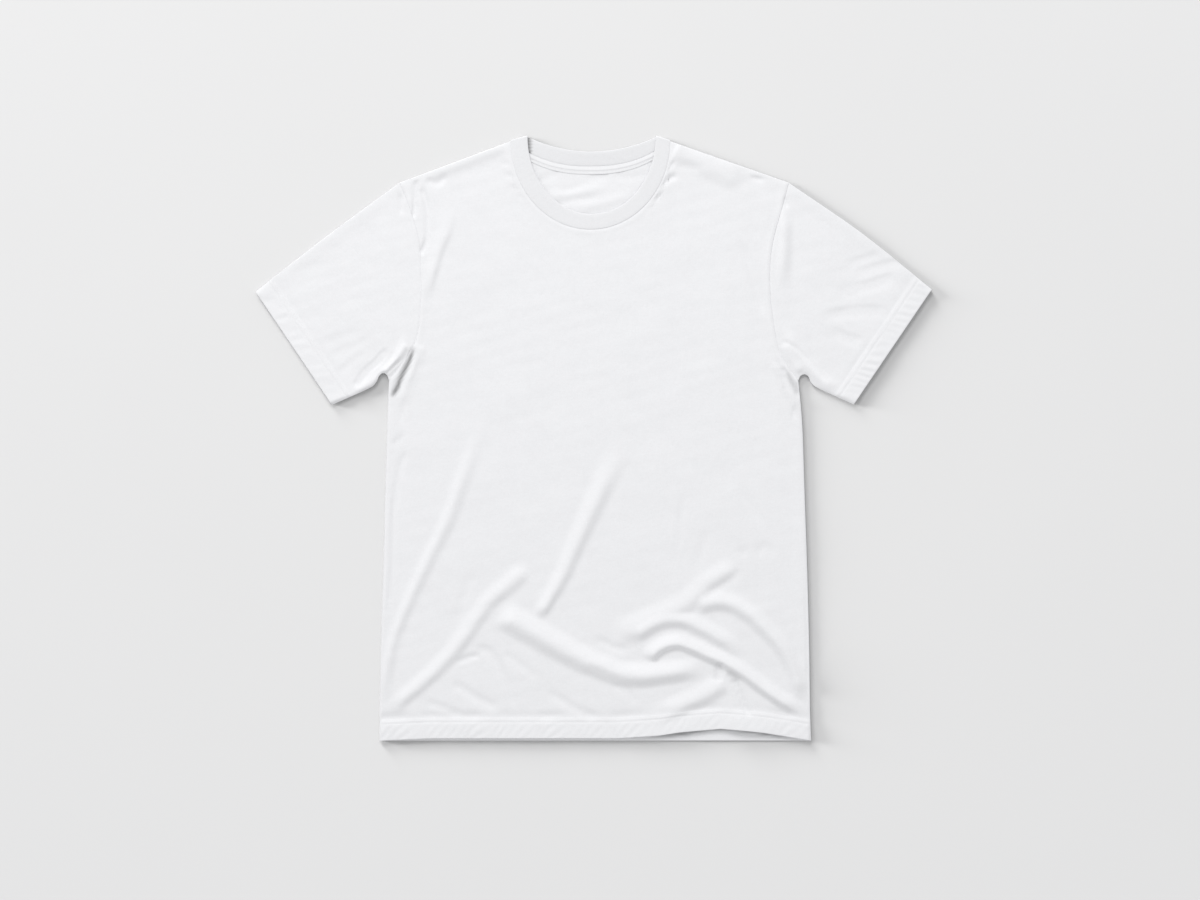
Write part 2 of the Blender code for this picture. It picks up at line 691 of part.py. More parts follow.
def band_section(free, seam, normal):
    """Closed section of the doubled neckband, round at its free edge."""
    half = BAND_CLOTH / 2
    across = (seam - free) / np.linalg.norm(seam - free)
    profile = [(way_in * half, rise * half) for way_in, rise in BAND_EDGE_PROFILE]
    upper = [free + across * a + normal * n for a, n in profile] + [seam + normal * half]
    lower = [free + across * a - normal * n for a, n in profile[1:]] + [seam - normal * half]
    return upper + lower[::-1]


def band_height(share):
    """Middle height of the front of the neckband; share is 1 at either shoulder."""
    low = FRONT_REST + BAND_OVER_PANEL
    return low + (BAND_SHOULDER_HEIGHT - low) * abs(share) ** BAND_CLIMB_POWER


def band_turn(share):
    """Sections of the neckband as it turns from front to back over one shoulder."""
    free, seam = neck_place(FRONT_FREE, share), neck_place(FRONT_SEAM, share)
    run = (seam - free) / np.linalg.norm(seam - free)
    out = np.array((-run[1], run[0]))
    if out[1] < 0:
        out = -out
    sections = []
    for step in range(TURN_STEPS + 1):
        angle = math.pi * step / TURN_STEPS
        shift = out * BAND_TURN_RADIUS * math.sin(angle)
        height = BAND_BACK_HEIGHT + BAND_TURN_RADIUS * (1.0 + math.cos(angle))
        normal = np.array((*(out * math.sin(angle)), math.cos(angle)))
        sections.append(band_section(np.array((*(free + shift), height)),
                                     np.array((*(seam + shift), height)), normal))
    return sections


def make_neckband(collection):
    """Neckband: a ring of doubled rib along the front neckline and back along the back one."""
    up, down = np.array((0.0, 0.0, 1.0)), np.array((0.0, 0.0, -1.0))
    sections = []
    for k in range(1, NECK_COLUMNS):
        share = -1.0 + 2.0 * k / NECK_COLUMNS
        height = band_height(math.sin(share * math.pi / 2))
        free, seam = neck_place(FRONT_FREE, share), neck_place(FRONT_SEAM, share)
        sections.append(band_section(np.array((*free, height)), np.array((*seam, height)), up))
    sections += band_turn(1.0)
    for k in range(BACK_NECK_COLUMNS - 1, 0, -1):
        share = -1.0 + 2.0 * k / BACK_NECK_COLUMNS
        free = neck_place(BACK_FREE, share, BACK_FREE_POWER)
        seam = neck_place(BACK_SEAM, share, BACK_SEAM_POWER)
        sections.append(band_section(np.array((*free, BAND_BACK_HEIGHT)),
                                     np.array((*seam, BAND_BACK_HEIGHT)), down))
    sections += band_turn(-1.0)[::-1]
    return add_piece(collection, "neckband", ring_of_sections(sections),
                     colour=(0.84, 0.84, 0.85))


def make_neck_tape(collection):
    """Back neck tape: a strip on the inside of the back panel, along the neckband seam."""
    edge = neckline(BACK_SEAM, TAPE_INSET)
    end_share = math.asin(TAPE_REACH) / (math.pi / 2)
    low = CLOTH + SEAM_GAP
    top, bottom = [], []
    for across in (0.0, TAPE_WIDTH / 2, TAPE_WIDTH):
        top_row, bottom_row = [], []
        for k in range(2 * BACK_NECK_COLUMNS + 1):
            share = end_share * (-1.0 + k / BACK_NECK_COLUMNS)
            place = neck_place(edge, share, BACK_SEAM_POWER) - (0.0, across)
            top_row.append((*place, low + TAPE_CLOTH))
            bottom_row.append((*place, low))
        top.append(top_row)
        bottom.append(bottom_row)
    return add_piece(collection, "neck_tape", wall_between(top, bottom),
                     colour=(0.78, 0.78, 0.79))


# ---------------------------------------------------------------- the garment


def clear_scene():
    """Remove every object of the scene."""
    for thing in list(bpy.data.objects):
        bpy.data.objects.remove(thing, do_unlink=True)


def main():
    """Make the whole garment in a collection of its own."""
    clear_scene()
    collection = bpy.data.collections.new(GARMENT)
    bpy.context.scene.collection.children.link(collection)
    make_back_panel(collection)
    make_front_panel(collection)
    make_sleeve(collection, "left")
    make_sleeve(collection, "right")
    make_neckband(collection)
    make_neck_tape(collection)


main()
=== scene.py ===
"""The looks of a plain white crew neck t-shirt that lies flat on a pale floor.

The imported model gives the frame. Each of its cloth walls is replaced by a thin shell of
jersey, rib or tape on the same form, with the finer creases, the seams, the sewn rows and
the knit of real cloth. Metres, +Z up; the tables give places on the cloth in millimetres.
"""
import logging
import math
from dataclasses import dataclass
from enum import Enum
from typing import Callable, Iterable, NamedTuple, Optional, Sequence

import bpy
import numpy as np
from bpy.types import ID, Light, Material, Node, NodesModifier, NodeSocket, NodeTree, Object
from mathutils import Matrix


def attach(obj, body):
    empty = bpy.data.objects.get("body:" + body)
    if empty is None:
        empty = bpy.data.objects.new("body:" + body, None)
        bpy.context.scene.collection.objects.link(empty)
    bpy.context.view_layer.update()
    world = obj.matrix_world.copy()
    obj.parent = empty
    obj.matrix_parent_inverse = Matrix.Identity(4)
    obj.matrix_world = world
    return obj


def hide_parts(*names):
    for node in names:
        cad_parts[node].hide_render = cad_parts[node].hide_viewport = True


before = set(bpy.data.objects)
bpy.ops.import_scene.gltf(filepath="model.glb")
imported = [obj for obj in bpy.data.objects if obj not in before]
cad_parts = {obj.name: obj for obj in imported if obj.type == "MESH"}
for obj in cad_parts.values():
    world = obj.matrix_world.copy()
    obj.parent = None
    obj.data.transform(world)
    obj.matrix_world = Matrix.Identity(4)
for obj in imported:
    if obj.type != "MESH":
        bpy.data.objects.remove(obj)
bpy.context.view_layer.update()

log = logging.getLogger("t_shirt")

MM = 0.001
Array = np.ndarray
Place = tuple[float, float]

# ---- driving dimensions
JERSEY = 0.9 * MM  # thickness of the jersey
HEM_DEPTH = 20.6 * MM  # how far a hem is turned in
HEM_STEP = 2.0 * MM  # run over which the cloth goes from single to double
HEM_SWELL = 0.7 * MM  # how much higher the cloth lies where it is double
SEAM_GAP = 0.04 * MM  # sewn pieces touch but for this
EDGE_MIDDLE = 2.4 * MM  # height at which the front and back meet at a closed edge
EDGE_GAP = 0.05 * MM  # each of them ends this far from that height
FRONT_REST = 2.7 * MM  # middle of the upper cloth where it lies flat
WALL = 1.2 * MM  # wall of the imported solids, whose outer skin the cloth shares
HEM_REST = 0.7 * MM  # extra height of the upper cloth over the doubled hems
HEM_REST_REACH = 50 * MM
UPPER_ROLL = 3.6 * MM  # width over which the upper cloth rounds down to its edge
TOP_SHARPNESS = 4.0  # how much sharper it does so along the shoulders and sleeve folds
LOWER_ROLL = 4.0 * MM  # the same for the cloth that lies on the floor
RELIEF_INSET = 4 * MM  # how far in from a closed edge seams and hems have full height
PUFF = 0.9 * MM  # how far the edges swell above the flat middle
PUFF_INSET = 5 * MM  # how far in from the edge the swelling is highest
PUFF_REACH = 9 * MM
LOFT = 0.8 * MM  # how far the front stands off its rest, well in from its edges
LOFT_RUN = 24 * MM
BODY_WIDTH = 510 * MM  # about how wide the body lies; the sleeves have none of that loft
CLEARANCE = 0.08 * MM  # least gap between the upper cloth and the cloth below
BAND_CLOTH = 1.8 * MM  # the neckband is rib folded double
BAND_FRONT_HEIGHT = 3.4 * MM  # middle of the band at the bottom of the neck
BAND_BACK_HEIGHT = 1.0 * MM  # the same along the back of the neck
BAND_BACK_TILT = 1.9 * MM  # how much higher its free edge stands there
BAND_LIFT_REACH = 16 * MM  # how far the front rises with the band
BAND_FLUSH_REACH = 5 * MM  # run over which the front comes level with the band
BAND_SEAM_FACE = 0.63 * MM  # height of the band's face over its middle at its seam
TAPE_WIDTH = 10.0 * MM
TAPE_CLOTH = 1.0 * MM
TAPE_REACH = 0.88  # share of the back neckline's half width that the tape covers


class Side(Enum):
    """The two sides of the garment as it lies, seen from above."""

    LEFT = -1
    RIGHT = 1

    @property
    def word(self) -> str:
        """The side's name in lower case."""
        return self.name.lower()


class BodyEdge(NamedTuple):
    """The body's left and right edge at a height along Y, in mm."""

    y: float
    left: float
    right: float


SIDE_SEAMS = (
    BodyEdge(-369, -261.4, 265.2),
    BodyEdge(-332, -260.8, 263.9),
    BodyEdge(-250, -259.1, 262.7),
    BodyEdge(-150, -255.9, 260.1),
    BodyEdge(-75, -254.1, 257.5),
    BodyEdge(10, -251.6, 254.7),
    BodyEdge(50, -250.5, 251.6),
    BodyEdge(70, -249.5, 249.5),
)
ARMHOLES = (
    BodyEdge(70, -249.5, 249.5),
    BodyEdge(85, -237.5, 237),
    BodyEdge(102, -225.5, 227.8),
    BodyEdge(125, -214.8, 221.6),
    BodyEdge(168, -210.7, 215.8),
    BodyEdge(205, -210.7, 214.7),
    BodyEdge(235, -212, 217.6),
    BodyEdge(265, -219.2, 225),
    BodyEdge(290, -227.8, 232.2),
    BodyEdge(311.4, -236.4, 237.7),
)


class HemPlace(NamedTuple):
    """How far the front hem is drawn up and lifted off the back one at a place, in mm."""

    x: float
    drawn_up: float
    lifted: float


FRONT_HEM = (
    HemPlace(-261.4, 0, 0),
    HemPlace(-200, 2.9, 0.2),
    HemPlace(30, 3, 0.2),
    HemPlace(80, 6.5, 2.2),
    HemPlace(105, 10.5, 2.6),
    HemPlace(140, 13.4, 1),
    HemPlace(154, 14.6, 1.6),
    HemPlace(180, 12.8, 4.4),
    HemPlace(205, 10.2, 3.2),
    HemPlace(227, 6.6, 1.2),
    HemPlace(265.2, 0, 0),
)
HEM_FADE = 155 * MM  # height up the front over which the draw dies away
HEM_LIFT_FADE = 40 * MM  # the same for the lift


class NeckEdge(NamedTuple):
    """An edge of the neck, in mm: it dips from its two ends down to its middle."""

    x: float
    end_y: float
    half_width: float
    dip: float
    power: Optional[float]  # None is half an ellipse

    def moved_out(self, gap: float) -> "NeckEdge":
        """The edge of the cloth that stands gap metres outside this one."""
        return self._replace(half_width=self.half_width + gap / MM, dip=self.dip + gap / MM)

    def at(self, share: Array) -> Array:
        """Places along the edge, for shares from -1 at its left end to 1 at its right."""
        angle = np.asarray(share, dtype=float) * math.pi / 2
        across = np.sin(angle)
        dip = np.cos(angle) if self.power is None else 1.0 - np.abs(across) ** self.power
        return np.stack((self.x + self.half_width * across, self.end_y - self.dip * dip), -1) * MM


FRONT_SEAM = NeckEdge(x=-4.0, end_y=362.0, half_width=97.0, dip=107.7, power=None)
FRONT_FREE = NeckEdge(x=-2.5, end_y=366.87, half_width=78.0, dip=93.8, power=None)
BACK_SEAM = NeckEdge(x=-4.0, end_y=362.0, half_width=97.0, dip=30.5, power=2.4)
BACK_FREE = NeckEdge(x=-2.5, end_y=366.87, half_width=78.0, dip=17.7, power=2.0)
BAND_TURN_RADII = {Side.LEFT: 1.9 * MM, Side.RIGHT: 1.8 * MM}  # where it turns over a shoulder


class SleeveEdge(NamedTuple):
    """A sleeve's outline outside its armhole seam, in mm."""

    cuff_top: Place
    cuff_under: Place
    fold_bow: float
    under: tuple[Place, ...]


SLEEVE_EDGES = {
    Side.LEFT: SleeveEdge(
        cuff_top=(-412.2, 178.4),
        cuff_under=(-319.0, 40.5),
        fold_bow=1.6,
        under=((-252.3, 76.8), (-257.0, 79.0), (-261.6, 75.5), (-265.5, 67.5), (-275.0, 60.0)),
    ),
    Side.RIGHT: SleeveEdge(
        cuff_top=(412.2, 181.2),
        cuff_under=(317.0, 40.9),
        fold_bow=4.0,
        under=((252.3, 75.6), (257.0, 77.5), (261.6, 75.0), (265.5, 67.0), (275.0, 60.0)),
    ),
}


class Fold(NamedTuple):
    """A soft ridge or trough along a route on the cloth, in mm.

    Its height is negative for a trough. The reaches are the widths of its flanks on the
    left and the right of someone who walks the route, and the fades are the lengths over
    which it grows at the route's start and dies away at its end. Its width at the end
    is taper times that at the start.
    """

    height: float
    left: float
    right: float
    fade_in: float
    fade_out: float
    route: tuple[Place, ...]
    taper: float = 1.0


# The large folds that the solids have too. Where they meet they merge.
FOLDS = {
    "left_long": Fold(4, 15, 13, 110, 60, (
        (-132, 26), (-141, 2), (-153, -29), (-165, -63), (-178, -100), (-202, -149), (-225, -198),
        (-244, -246), (-253, -295), (-257, -323)), taper=0.6),
    "left_short": Fold(4.3, 13, 17, 16, 30, (
        (-77, -160), (-92, -170), (-107, -183), (-122, -195), (-134, -209), (-155, -240),
        (-177, -268), (-203, -294), (-229, -316), (-249, -337)), taper=0.8),
    "middle_upright": Fold(5.4, 18, 23, 90, 18, (
        (42, 0), (30, -24), (15, -53), (-7, -100), (-29, -149), (-36, -166), (-48, -187),
        (-58, -204), (-69, -221)), taper=0.5),
    "middle_sweep": Fold(7.6, 24, 21, 20, 40, (
        (-116, -212), (-96, -225), (-78, -235), (-56, -248), (-34, -260), (-13, -271),
        (8, -279), (32, -288), (59, -290), (87, -287), (115, -284), (138, -284)), taper=0.7),
    "right_upper": Fold(3.8, 24, 19, 30, 18, (
        (22, -246), (38, -238), (56, -231), (77, -220), (96, -211), (113, -203), (127, -190),
        (139, -178), (154, -168), (177, -156)), taper=0.7),
    "right_arc": Fold(6.0, 17, 12, 20, 40, (
        (44, -248), (60, -235), (76, -226), (92, -222), (108, -223), (124, -229), (143, -239),
        (159, -249), (181, -266)), taper=0.9),
    "right_middle": Fold(7.2, 15, 7.5, 12, 30, (
        (67, -273), (76, -261), (87, -254), (102, -251), (118, -256), (135, -264),
        (152, -271), (168, -279), (185, -290), (202, -303), (219, -315), (236, -326),
        (255, -338))),
    "right_outer": Fold(5.8, 18, 14, 14, 25, (
        (122, -206), (138, -202), (155, -200), (172, -205), (191, -217), (209, -234), (226, -253),
        (238, -273), (247, -296), (252, -322)), taper=0.65),
    "right_hem": Fold(4.8, 19, 14, 35, 10, (
        (69, -344), (96, -332), (118, -322), (137, -313), (152, -304), (162, -298))),
    "left_armpit": Fold(
        2.4, 9, 11, 14, 30, ((-293, 54), (-263, 74), (-240, 98), (-228, 130)), taper=0.8),
    "right_armpit": Fold(
        2.6, 12, 12, 14, 30, ((296, 58), (268, 80), (246, 108), (234, 140)), taper=0.8),
    "left_shoulder": Fold(3, 10, 20, 70, 45, (
        (-172, 292), (-177, 256), (-187, 231), (-197, 195), (-205, 162)), taper=0.6),
}
FOLD_BLEND = 3.0  # power that merges the large folds where they meet

# Smaller creases of the body and the sleeves, which add to the form. Each has its height, its
# reaches on the left and right, its fades in and out, and its route.
CREASES = (
    # along the left shoulder, and dents beside the left of the neckband
    Fold(1.6, 24, 11, 22, 12, ((-208, 318), (-155, 338), (-106, 356))),
    Fold(-2, 6, 6, 6, 6, ((-206, 315), (-190, 311), (-179, 321))),
    Fold(-1.2, 4, 4, 4, 8, ((-100, 333), (-116, 336))),
    Fold(-1.1, 4, 4, 4, 8, ((-95, 318), (-111, 322))),
    Fold(-1, 4, 4, 4, 10, ((-86, 304), (-107, 306))),
    Fold(-0.9, 4, 4, 4, 8, ((-81, 293), (-97, 295))),
    # dents beside the right of the neckband, and the right shoulder
    Fold(-2.6, 3.5, 3.5, 4, 8, ((87, 326), (102, 339))),
    Fold(-3.2, 5.5, 5, 5, 10, ((78, 304), (89, 314), (105, 321))),
    Fold(-2.6, 3, 3, 3, 8, ((72, 292), (87, 297))),
    Fold(-1.1, 4, 4, 3, 8, ((63, 281), (78, 283))),
    Fold(-1.2, 9, 8, 12, 14, ((100, 333), (118, 331), (137, 325))),
    Fold(3.2, 30, 18, 6, 20, ((96, 351), (112, 343), (144, 328), (184, 311))),
    Fold(-1.8, 5, 5, 8, 8, ((188, 318), (210, 314))),
    # the left armhole: a pleat, a loop and a dent in the sleeve's cap
    Fold(-2.8, 3.5, 4, 4, 4, ((-216, 315), (-218, 290), (-219, 268))),
    Fold(-3, 4.5, 5, 8, 5, ((-210, 306), (-203, 284), (-202, 264), (-203, 242), (-211, 223))),
    Fold(-1.8, 4.5, 4.5, 8, 8, ((-236, 300), (-234, 271))),
    # the right armhole: a ridge and a dent in the cap, and a crease of the chest
    Fold(4, 13, 9, 34, 45, ((231, 286), (232, 254), (231, 217), (229, 178))),
    Fold(-2, 4, 4, 6, 8, ((233, 295), (236, 278))),
    Fold(-1.5, 8, 8, 25, 25, ((174, 248), (188, 215), (200, 178), (210, 144))),
    # the left underarm, gathered, and the sleeve's creases that run into it
    Fold(-5, 5, 5, 10, 4, ((-219, 111), (-225, 95), (-234, 76), (-244, 54))),
    Fold(2.4, 10, 9, 10, 16, ((-210, 116), (-214, 98), (-220, 79), (-228, 59), (-234, 37))),
    Fold(-1.2, 4.5, 4.5, 15, 12, ((-212, 113), (-213, 89), (-223, 65), (-230, 44), (-235, 17))),
    Fold(2, 7, 7, 8, 6, ((-257, 76), (-246, 88), (-234, 104), (-227, 116))),
    Fold(-3.2, 6.5, 7, 10, 14, ((-292, 60), (-280, 78), (-264, 93), (-250, 110))),
    Fold(-2, 3.5, 3.5, 8, 8, ((-262, 70), (-247, 84), (-233, 98))),
    # the same on the right
    Fold(-6, 4, 4, 8, 4, ((230, 87), (237, 72), (246, 61), (252, 50))),
    Fold(2.4, 7, 7, 10, 14, ((221, 95), (226, 79), (232, 63), (241, 48), (248, 32))),
    Fold(2.4, 9, 9, 8, 8, ((231, 117), (238, 102), (247, 88), (253, 78))),
    Fold(-2.4, 4, 4, 10, 15, ((222, 98), (230, 73), (240, 46), (248, 17))),
    Fold(-1.2, 4.5, 5, 8, 12, ((229, 118), (243, 112), (258, 99), (271, 84), (285, 67))),
    # the fan of folds on the right sleeve
    Fold(-1, 6, 13, 15, 12, ((304, 211), (331, 220), (353, 227))),
    Fold(-1.3, 6, 13, 18, 15, ((313, 199), (349, 211), (379, 217))),
    Fold(-1.7, 8, 14, 20, 20, ((293, 176), (315, 182), (340, 188), (371, 200))),
    Fold(-1.6, 9, 15, 25, 20, ((274, 149), (307, 154), (332, 156), (362, 155))),
    Fold(-1.2, 8, 14, 18, 15, ((286, 134), (308, 124), (332, 117))),
    # the fan of folds on the left sleeve
    Fold(-0.5, 9, 12, 18, 18, ((-336, 113), (-308, 124), (-278, 133))),
    Fold(-0.7, 8, 11, 15, 18, ((-324, 98), (-300, 110), (-266, 123))),
    Fold(-0.7, 7, 9, 12, 12, ((-314, 76), (-295, 93), (-275, 105))),
    # the left side of the body
    Fold(-1.8, 4, 4, 5, 5, ((-246, -9), (-230, 4))),
    Fold(-1.9, 5, 5.5, 12, 20, ((-229, -15), (-236, -39), (-240, -63), (-244, -94))),
    Fold(-2.2, 5, 4, 20, 45, ((-240, -51), (-245, -100), (-247, -161), (-251, -225))),
    Fold(-1, 11, 11, 16, 20, ((-146, -161), (-156, -188), (-163, -212), (-169, -234))),
    Fold(-1.8, 6, 7, 3, 12, ((-139, -265), (-153, -268), (-170, -276))),
    # above the hem, left of the middle
    Fold(-1.5, 9, 10, 12, 16, ((-175, -297), (-157, -307), (-136, -320), (-112, -331))),
    Fold(-1.4, 9, 8, 12, 10, ((-207, -321), (-183, -329), (-158, -339))),
    Fold(-1.5, 9, 9, 12, 25,
         ((-144, -253), (-124, -264), (-111, -286), (-102, -310), (-92, -339))),
    Fold(-1.1, 9, 9, 12, 15, ((-112, -260), (-90, -276), (-66, -295))),
    Fold(-1.4, 9, 9, 12, 14, ((-58, -307), (-34, -323), (-14, -333), (5, -343))),
    Fold(-0.9, 9, 9, 8, 10, ((20, -300), (42, -310), (52, -327))),
    # beside the middle sweep, and soft shades right of the middle
    Fold(-1.6, 9, 9, 18, 18, ((-2, -242), (22, -254), (47, -261))),
    Fold(-0.8, 7, 7, 8, 10, ((-9, -276), (13, -286), (35, -295))),
    Fold(-0.8, 9, 9, 20, 20, ((176, -51), (193, -82), (208, -112))),
    Fold(-0.8, 9, 9, 20, 20, ((227, -51), (242, -82), (252, -112))),
    Fold(-0.8, 9, 9, 20, 20, ((110, -66), (105, -106), (103, -143))),
    Fold(-0.8, 9, 9, 15, 15, ((139, -112), (130, -143), (122, -164))),
    Fold(-1, 7, 7, 5, 6, ((176, -134), (188, -144))),
    Fold(-1, 8, 8, 5, 8, ((199, -144), (208, -131), (222, -144))),
    # the right side, the split of the upper fold, and the tuck
    Fold(-1.4, 2.5, 2.5, 30, 30, ((259, -161), (260, -246), (261, -334))),
    Fold(-1.5, 6, 7, 6, 8, ((181, -162), (164, -173), (149, -183), (139, -189))),
    Fold(-6, 6, 6, 3, 4, ((152, -273), (152, -286), (150, -297))),
    Fold(-3, 4, 6, 6, 8, ((169, -293), (176, -305), (181, -318), (186, -331), (192, -340))),
)
# Wrinkles of the back panel that show inside the neck.
BACK_WRINKLES = (
    Fold(-3.2, 6, 5, 5, 10, ((-73, 310), (-58, 317), (-41, 323))),
    Fold(-3, 5, 5, 6, 8, ((-8, 315), (5, 318), (20, 318))),
    Fold(-3.2, 5, 5, 8, 10, ((26, 320), (44, 318), (64, 321))),
    Fold(-1.2, 6, 6, 8, 10, ((-44, 300), (-25, 303), (-12, 310))),
    Fold(-1.1, 5, 5, 10, 12, ((-50, 284), (-23, 290), (8, 294))),
    Fold(1.2, 8, 8, 12, 20, ((-59, 294), (-23, 300), (22, 307))),
    Fold(0.9, 7, 7, 12, 20, ((-23, 279), (11, 286), (52, 299))),
    Fold(0.9, 26, 24, 30, 30, ((-59, 284), (-23, 287), (14, 287), (50, 284))),
)

# Painted shade, piece by piece: a few deep narrow places, and the back panel under the lifted front
# hem, are darkened in the cloth's colour, on top of the real shade of their shallower form. The
# height of each is how much darker the colour is made there, from 0 to 1.
PAINTED_SHADES = {
    "front_panel": (  # painted shade in the left underarm, the right one and the tuck
        Fold(0.7, 3.5, 3.5, 14, 6,
             ((-219, 112), (-225, 94), (-234, 76), (-241, 59), (-248, 51)), taper=1.5),
        Fold(0.2, 6, 6, 12, 8, ((234, 86), (239, 74), (245, 62), (251, 51))),
        Fold(0.2, 6, 6, 6, 8, ((160, -284), (170, -290), (180, -297))),
    ),
    "neckband": (  # painted shadow in the wedge at its left shoulder
        Fold(0.65, 7, 9, 3, 10, ((-80, 374), (-79, 354), (-77, 338)), taper=0.35),
    ),
    "back_panel": (  # painted shadow under the lifted front hem
        Fold(0.5, 9, 3, 50, 40, ((52, -366), (100, -362), (130, -357), (155, -355), (185, -357),
                                 (212, -361), (250, -368))),
    ),
}

# ---- sewing and knit
STITCH_ROWS = (20.1 * MM, 24.4 * MM)  # the twin rows of a hem, from its edge
ROW_SINK = 0.55 * MM  # how deep a hem's lower row sinks into the cloth
ROW_SINK_REACH = 1.1 * MM
HEM_DIP_HEIGHT = 27.5 * MM  # how far up from the edge the cloth dips above a hem
HEM_DIP_REACH = 5.5 * MM
STITCH_LENGTH = 3.1 * MM
STITCH_THREAD = 0.24 * MM  # radius of the sewing thread
TAPE_ROWS = (6.7 * MM, 9.1 * MM)  # the tape's two rows, from its upper edge
TAPE_STITCH_LENGTH = 2.6 * MM
ALLOWANCE_WIDTH = 6.0 * MM  # seam allowance that lies under the cloth
ARMHOLE_ALLOWANCE = 0.45 * MM  # how far the allowance lifts the cloth over it
NECK_ALLOWANCE = 0.20 * MM
SEAM_SINKS = {Side.LEFT: 0.5 * MM, Side.RIGHT: 0.7 * MM}  # dip of the cloth into an armhole seam
NECK_SINK = 0.35 * MM
SEAM_SINK_REACH = 1.5 * MM
RIB_COUNT = 396  # ribs all round the neckband
RIB_HEIGHT = 0.09 * MM

# ---- plain geometry


def metres(places: Iterable[Place]) -> Array:
    """Places given in millimetres, in metres."""
    return np.array(list(places), dtype=float) * MM


def ease(value: Array) -> Array:
    """Smooth step from 0 to 1 as value goes from 0 to 1."""
    t = np.clip(value, 0.0, 1.0)
    return t * t * (3.0 - 2.0 * t)


def quarter_round(distance: Array, width: float) -> Array:
    """Quarter round from 0 at an edge to 1 at width in from it."""
    t = np.clip(distance / width, 0.0, 1.0)
    return np.sqrt(1.0 - (1.0 - t) ** 2)


def bell(distance: Array, reach: float) -> Array:
    """A bell curve of height 1 that has mostly died away at reach."""
    return np.exp(-(distance / reach) ** 2)


def with_height(places: Array, height: Array) -> Array:
    """Points over places in the plane, at a height for each."""
    return np.concatenate((places, height[..., None]), -1)


def turned_in(from_edge: Array) -> Array:
    """Thickness that a hem's turned cloth adds at distances from its edge."""
    return JERSEY * ease((HEM_DEPTH + HEM_STEP - from_edge) / HEM_STEP)


def rounded_edge(outer: Array, inner: Array, from_edge: Array) -> tuple[Array, Array]:
    """Bring the two faces of a cloth together in a round edge where it ends free.

    Args:
        outer: points or heights of the outer face.
        inner: the same of the inner face.
        from_edge: their distance from the edge.

    Returns:
        The two faces.
    """
    keep = 0.1 + 0.9 * quarter_round(from_edge, JERSEY)
    middle, half = (outer + inner) / 2, (outer - inner) / 2 * keep
    return middle + half, middle - half


def row_path(face: Array, from_edge: Array, distance: float, ends: int) -> Array:
    """Where a sewn row lies on a face of cloth.

    Args:
        face: the points of the face, row by row.
        from_edge: the distance of each row of points from the sewn edge.
        distance: the sewn row's distance from that edge.
        ends: how many points are left out at each end of it.

    Returns:
        The sewn row's points.
    """
    sign = np.sign(from_edge[-1] - from_edge[0])
    after = int(np.searchsorted(sign * from_edge, sign * distance))
    share = (distance - from_edge[after - 1]) / (from_edge[after] - from_edge[after - 1])
    path = face[after - 1] + (face[after] - face[after - 1]) * share
    path[:, 2] += 0.4 * STITCH_THREAD
    return path[ends:-ends]


def smooth_line(places: Array, steps_each: int) -> Array:
    """Catmull-Rom curve through places.

    Args:
        places: the places that the curve passes, one a row.
        steps_each: points for each stretch between two places.

    Returns:
        The curve's points, one a row.
    """
    points = np.asarray(places, dtype=float)
    ends = np.concatenate(([2 * points[0] - points[1]], points, [2 * points[-1] - points[-2]]))
    t = (np.arange(steps_each) / steps_each)[:, None]
    stretches = [
        0.5 * (2 * b + (c - a) * t + (2 * a - 5 * b + 4 * c - d) * t ** 2
               + (3 * b - a - 3 * c + d) * t ** 3)
        for a, b, c, d in zip(ends, ends[1:], ends[2:], ends[3:])
    ]
    return np.concatenate(stretches + [points[-1:]])


class Route:
    """A plane curve that is read by the share of its length, and measured against."""

    BLOCK = 20000  # places measured at a time, which bounds the memory used

    def __init__(self, points: Array) -> None:
        """Keep the curve's points and the lengths of its runs."""
        self.points = np.asarray(points, dtype=float)
        self.starts = self.points[:-1]
        self.runs = np.diff(self.points, axis=0)
        self.lengths = np.linalg.norm(self.runs, axis=1)
        self.along = np.concatenate(([0.0], np.cumsum(self.lengths)))

    @property
    def length(self) -> float:
        """The curve's whole length."""
        return float(self.along[-1])

    def at(self, share: Array) -> Array:
        """Places at shares of the length, 0 to 1."""
        distance = np.asarray(share, dtype=float) * self.length
        return np.stack([np.interp(distance, self.along, self.points[:, k]) for k in (0, 1)], -1)

    def nearest(self, places: Array) -> tuple[Array, Array, Array]:
        """Measure places against the curve.

        Args:
            places: places in the plane, with x and y on the last axis.

        Returns:
            Their distance from the curve, how far along it their nearest point is, and
            1 where they lie on its left or -1 on its right.
        """
        flat = places.reshape(-1, 2)
        found = [self._measure(flat[k:k + self.BLOCK]) for k in range(0, len(flat), self.BLOCK)]
        return tuple(np.concatenate(part).reshape(places.shape[:-1]) for part in zip(*found))

    def _measure(self, places: Array) -> tuple[Array, Array, Array]:
        """The measures of nearest for a block of places."""
        offset = places[:, None, :] - self.starts
        share = np.clip((offset * self.runs).sum(-1) / self.lengths ** 2, 0.0, 1.0)
        gap = offset - share[..., None] * self.runs
        reach = np.hypot(gap[..., 0], gap[..., 1])
        best = reach.argmin(axis=1)
        row = np.arange(len(places))
        run, gap = self.runs[best], gap[row, best]
        side = np.where(run[:, 0] * gap[:, 1] - run[:, 1] * gap[:, 0] >= 0.0, 1.0, -1.0)
        return reach[row, best], self.along[best] + share[row, best] * self.lengths[best], side


def nearest_of(routes: Sequence[Route], places: Array) -> Array:
    """Distance from places to the nearest of some routes."""
    return np.min([route.nearest(places)[0] for route in routes], axis=0)


# ---- the outline as it lies


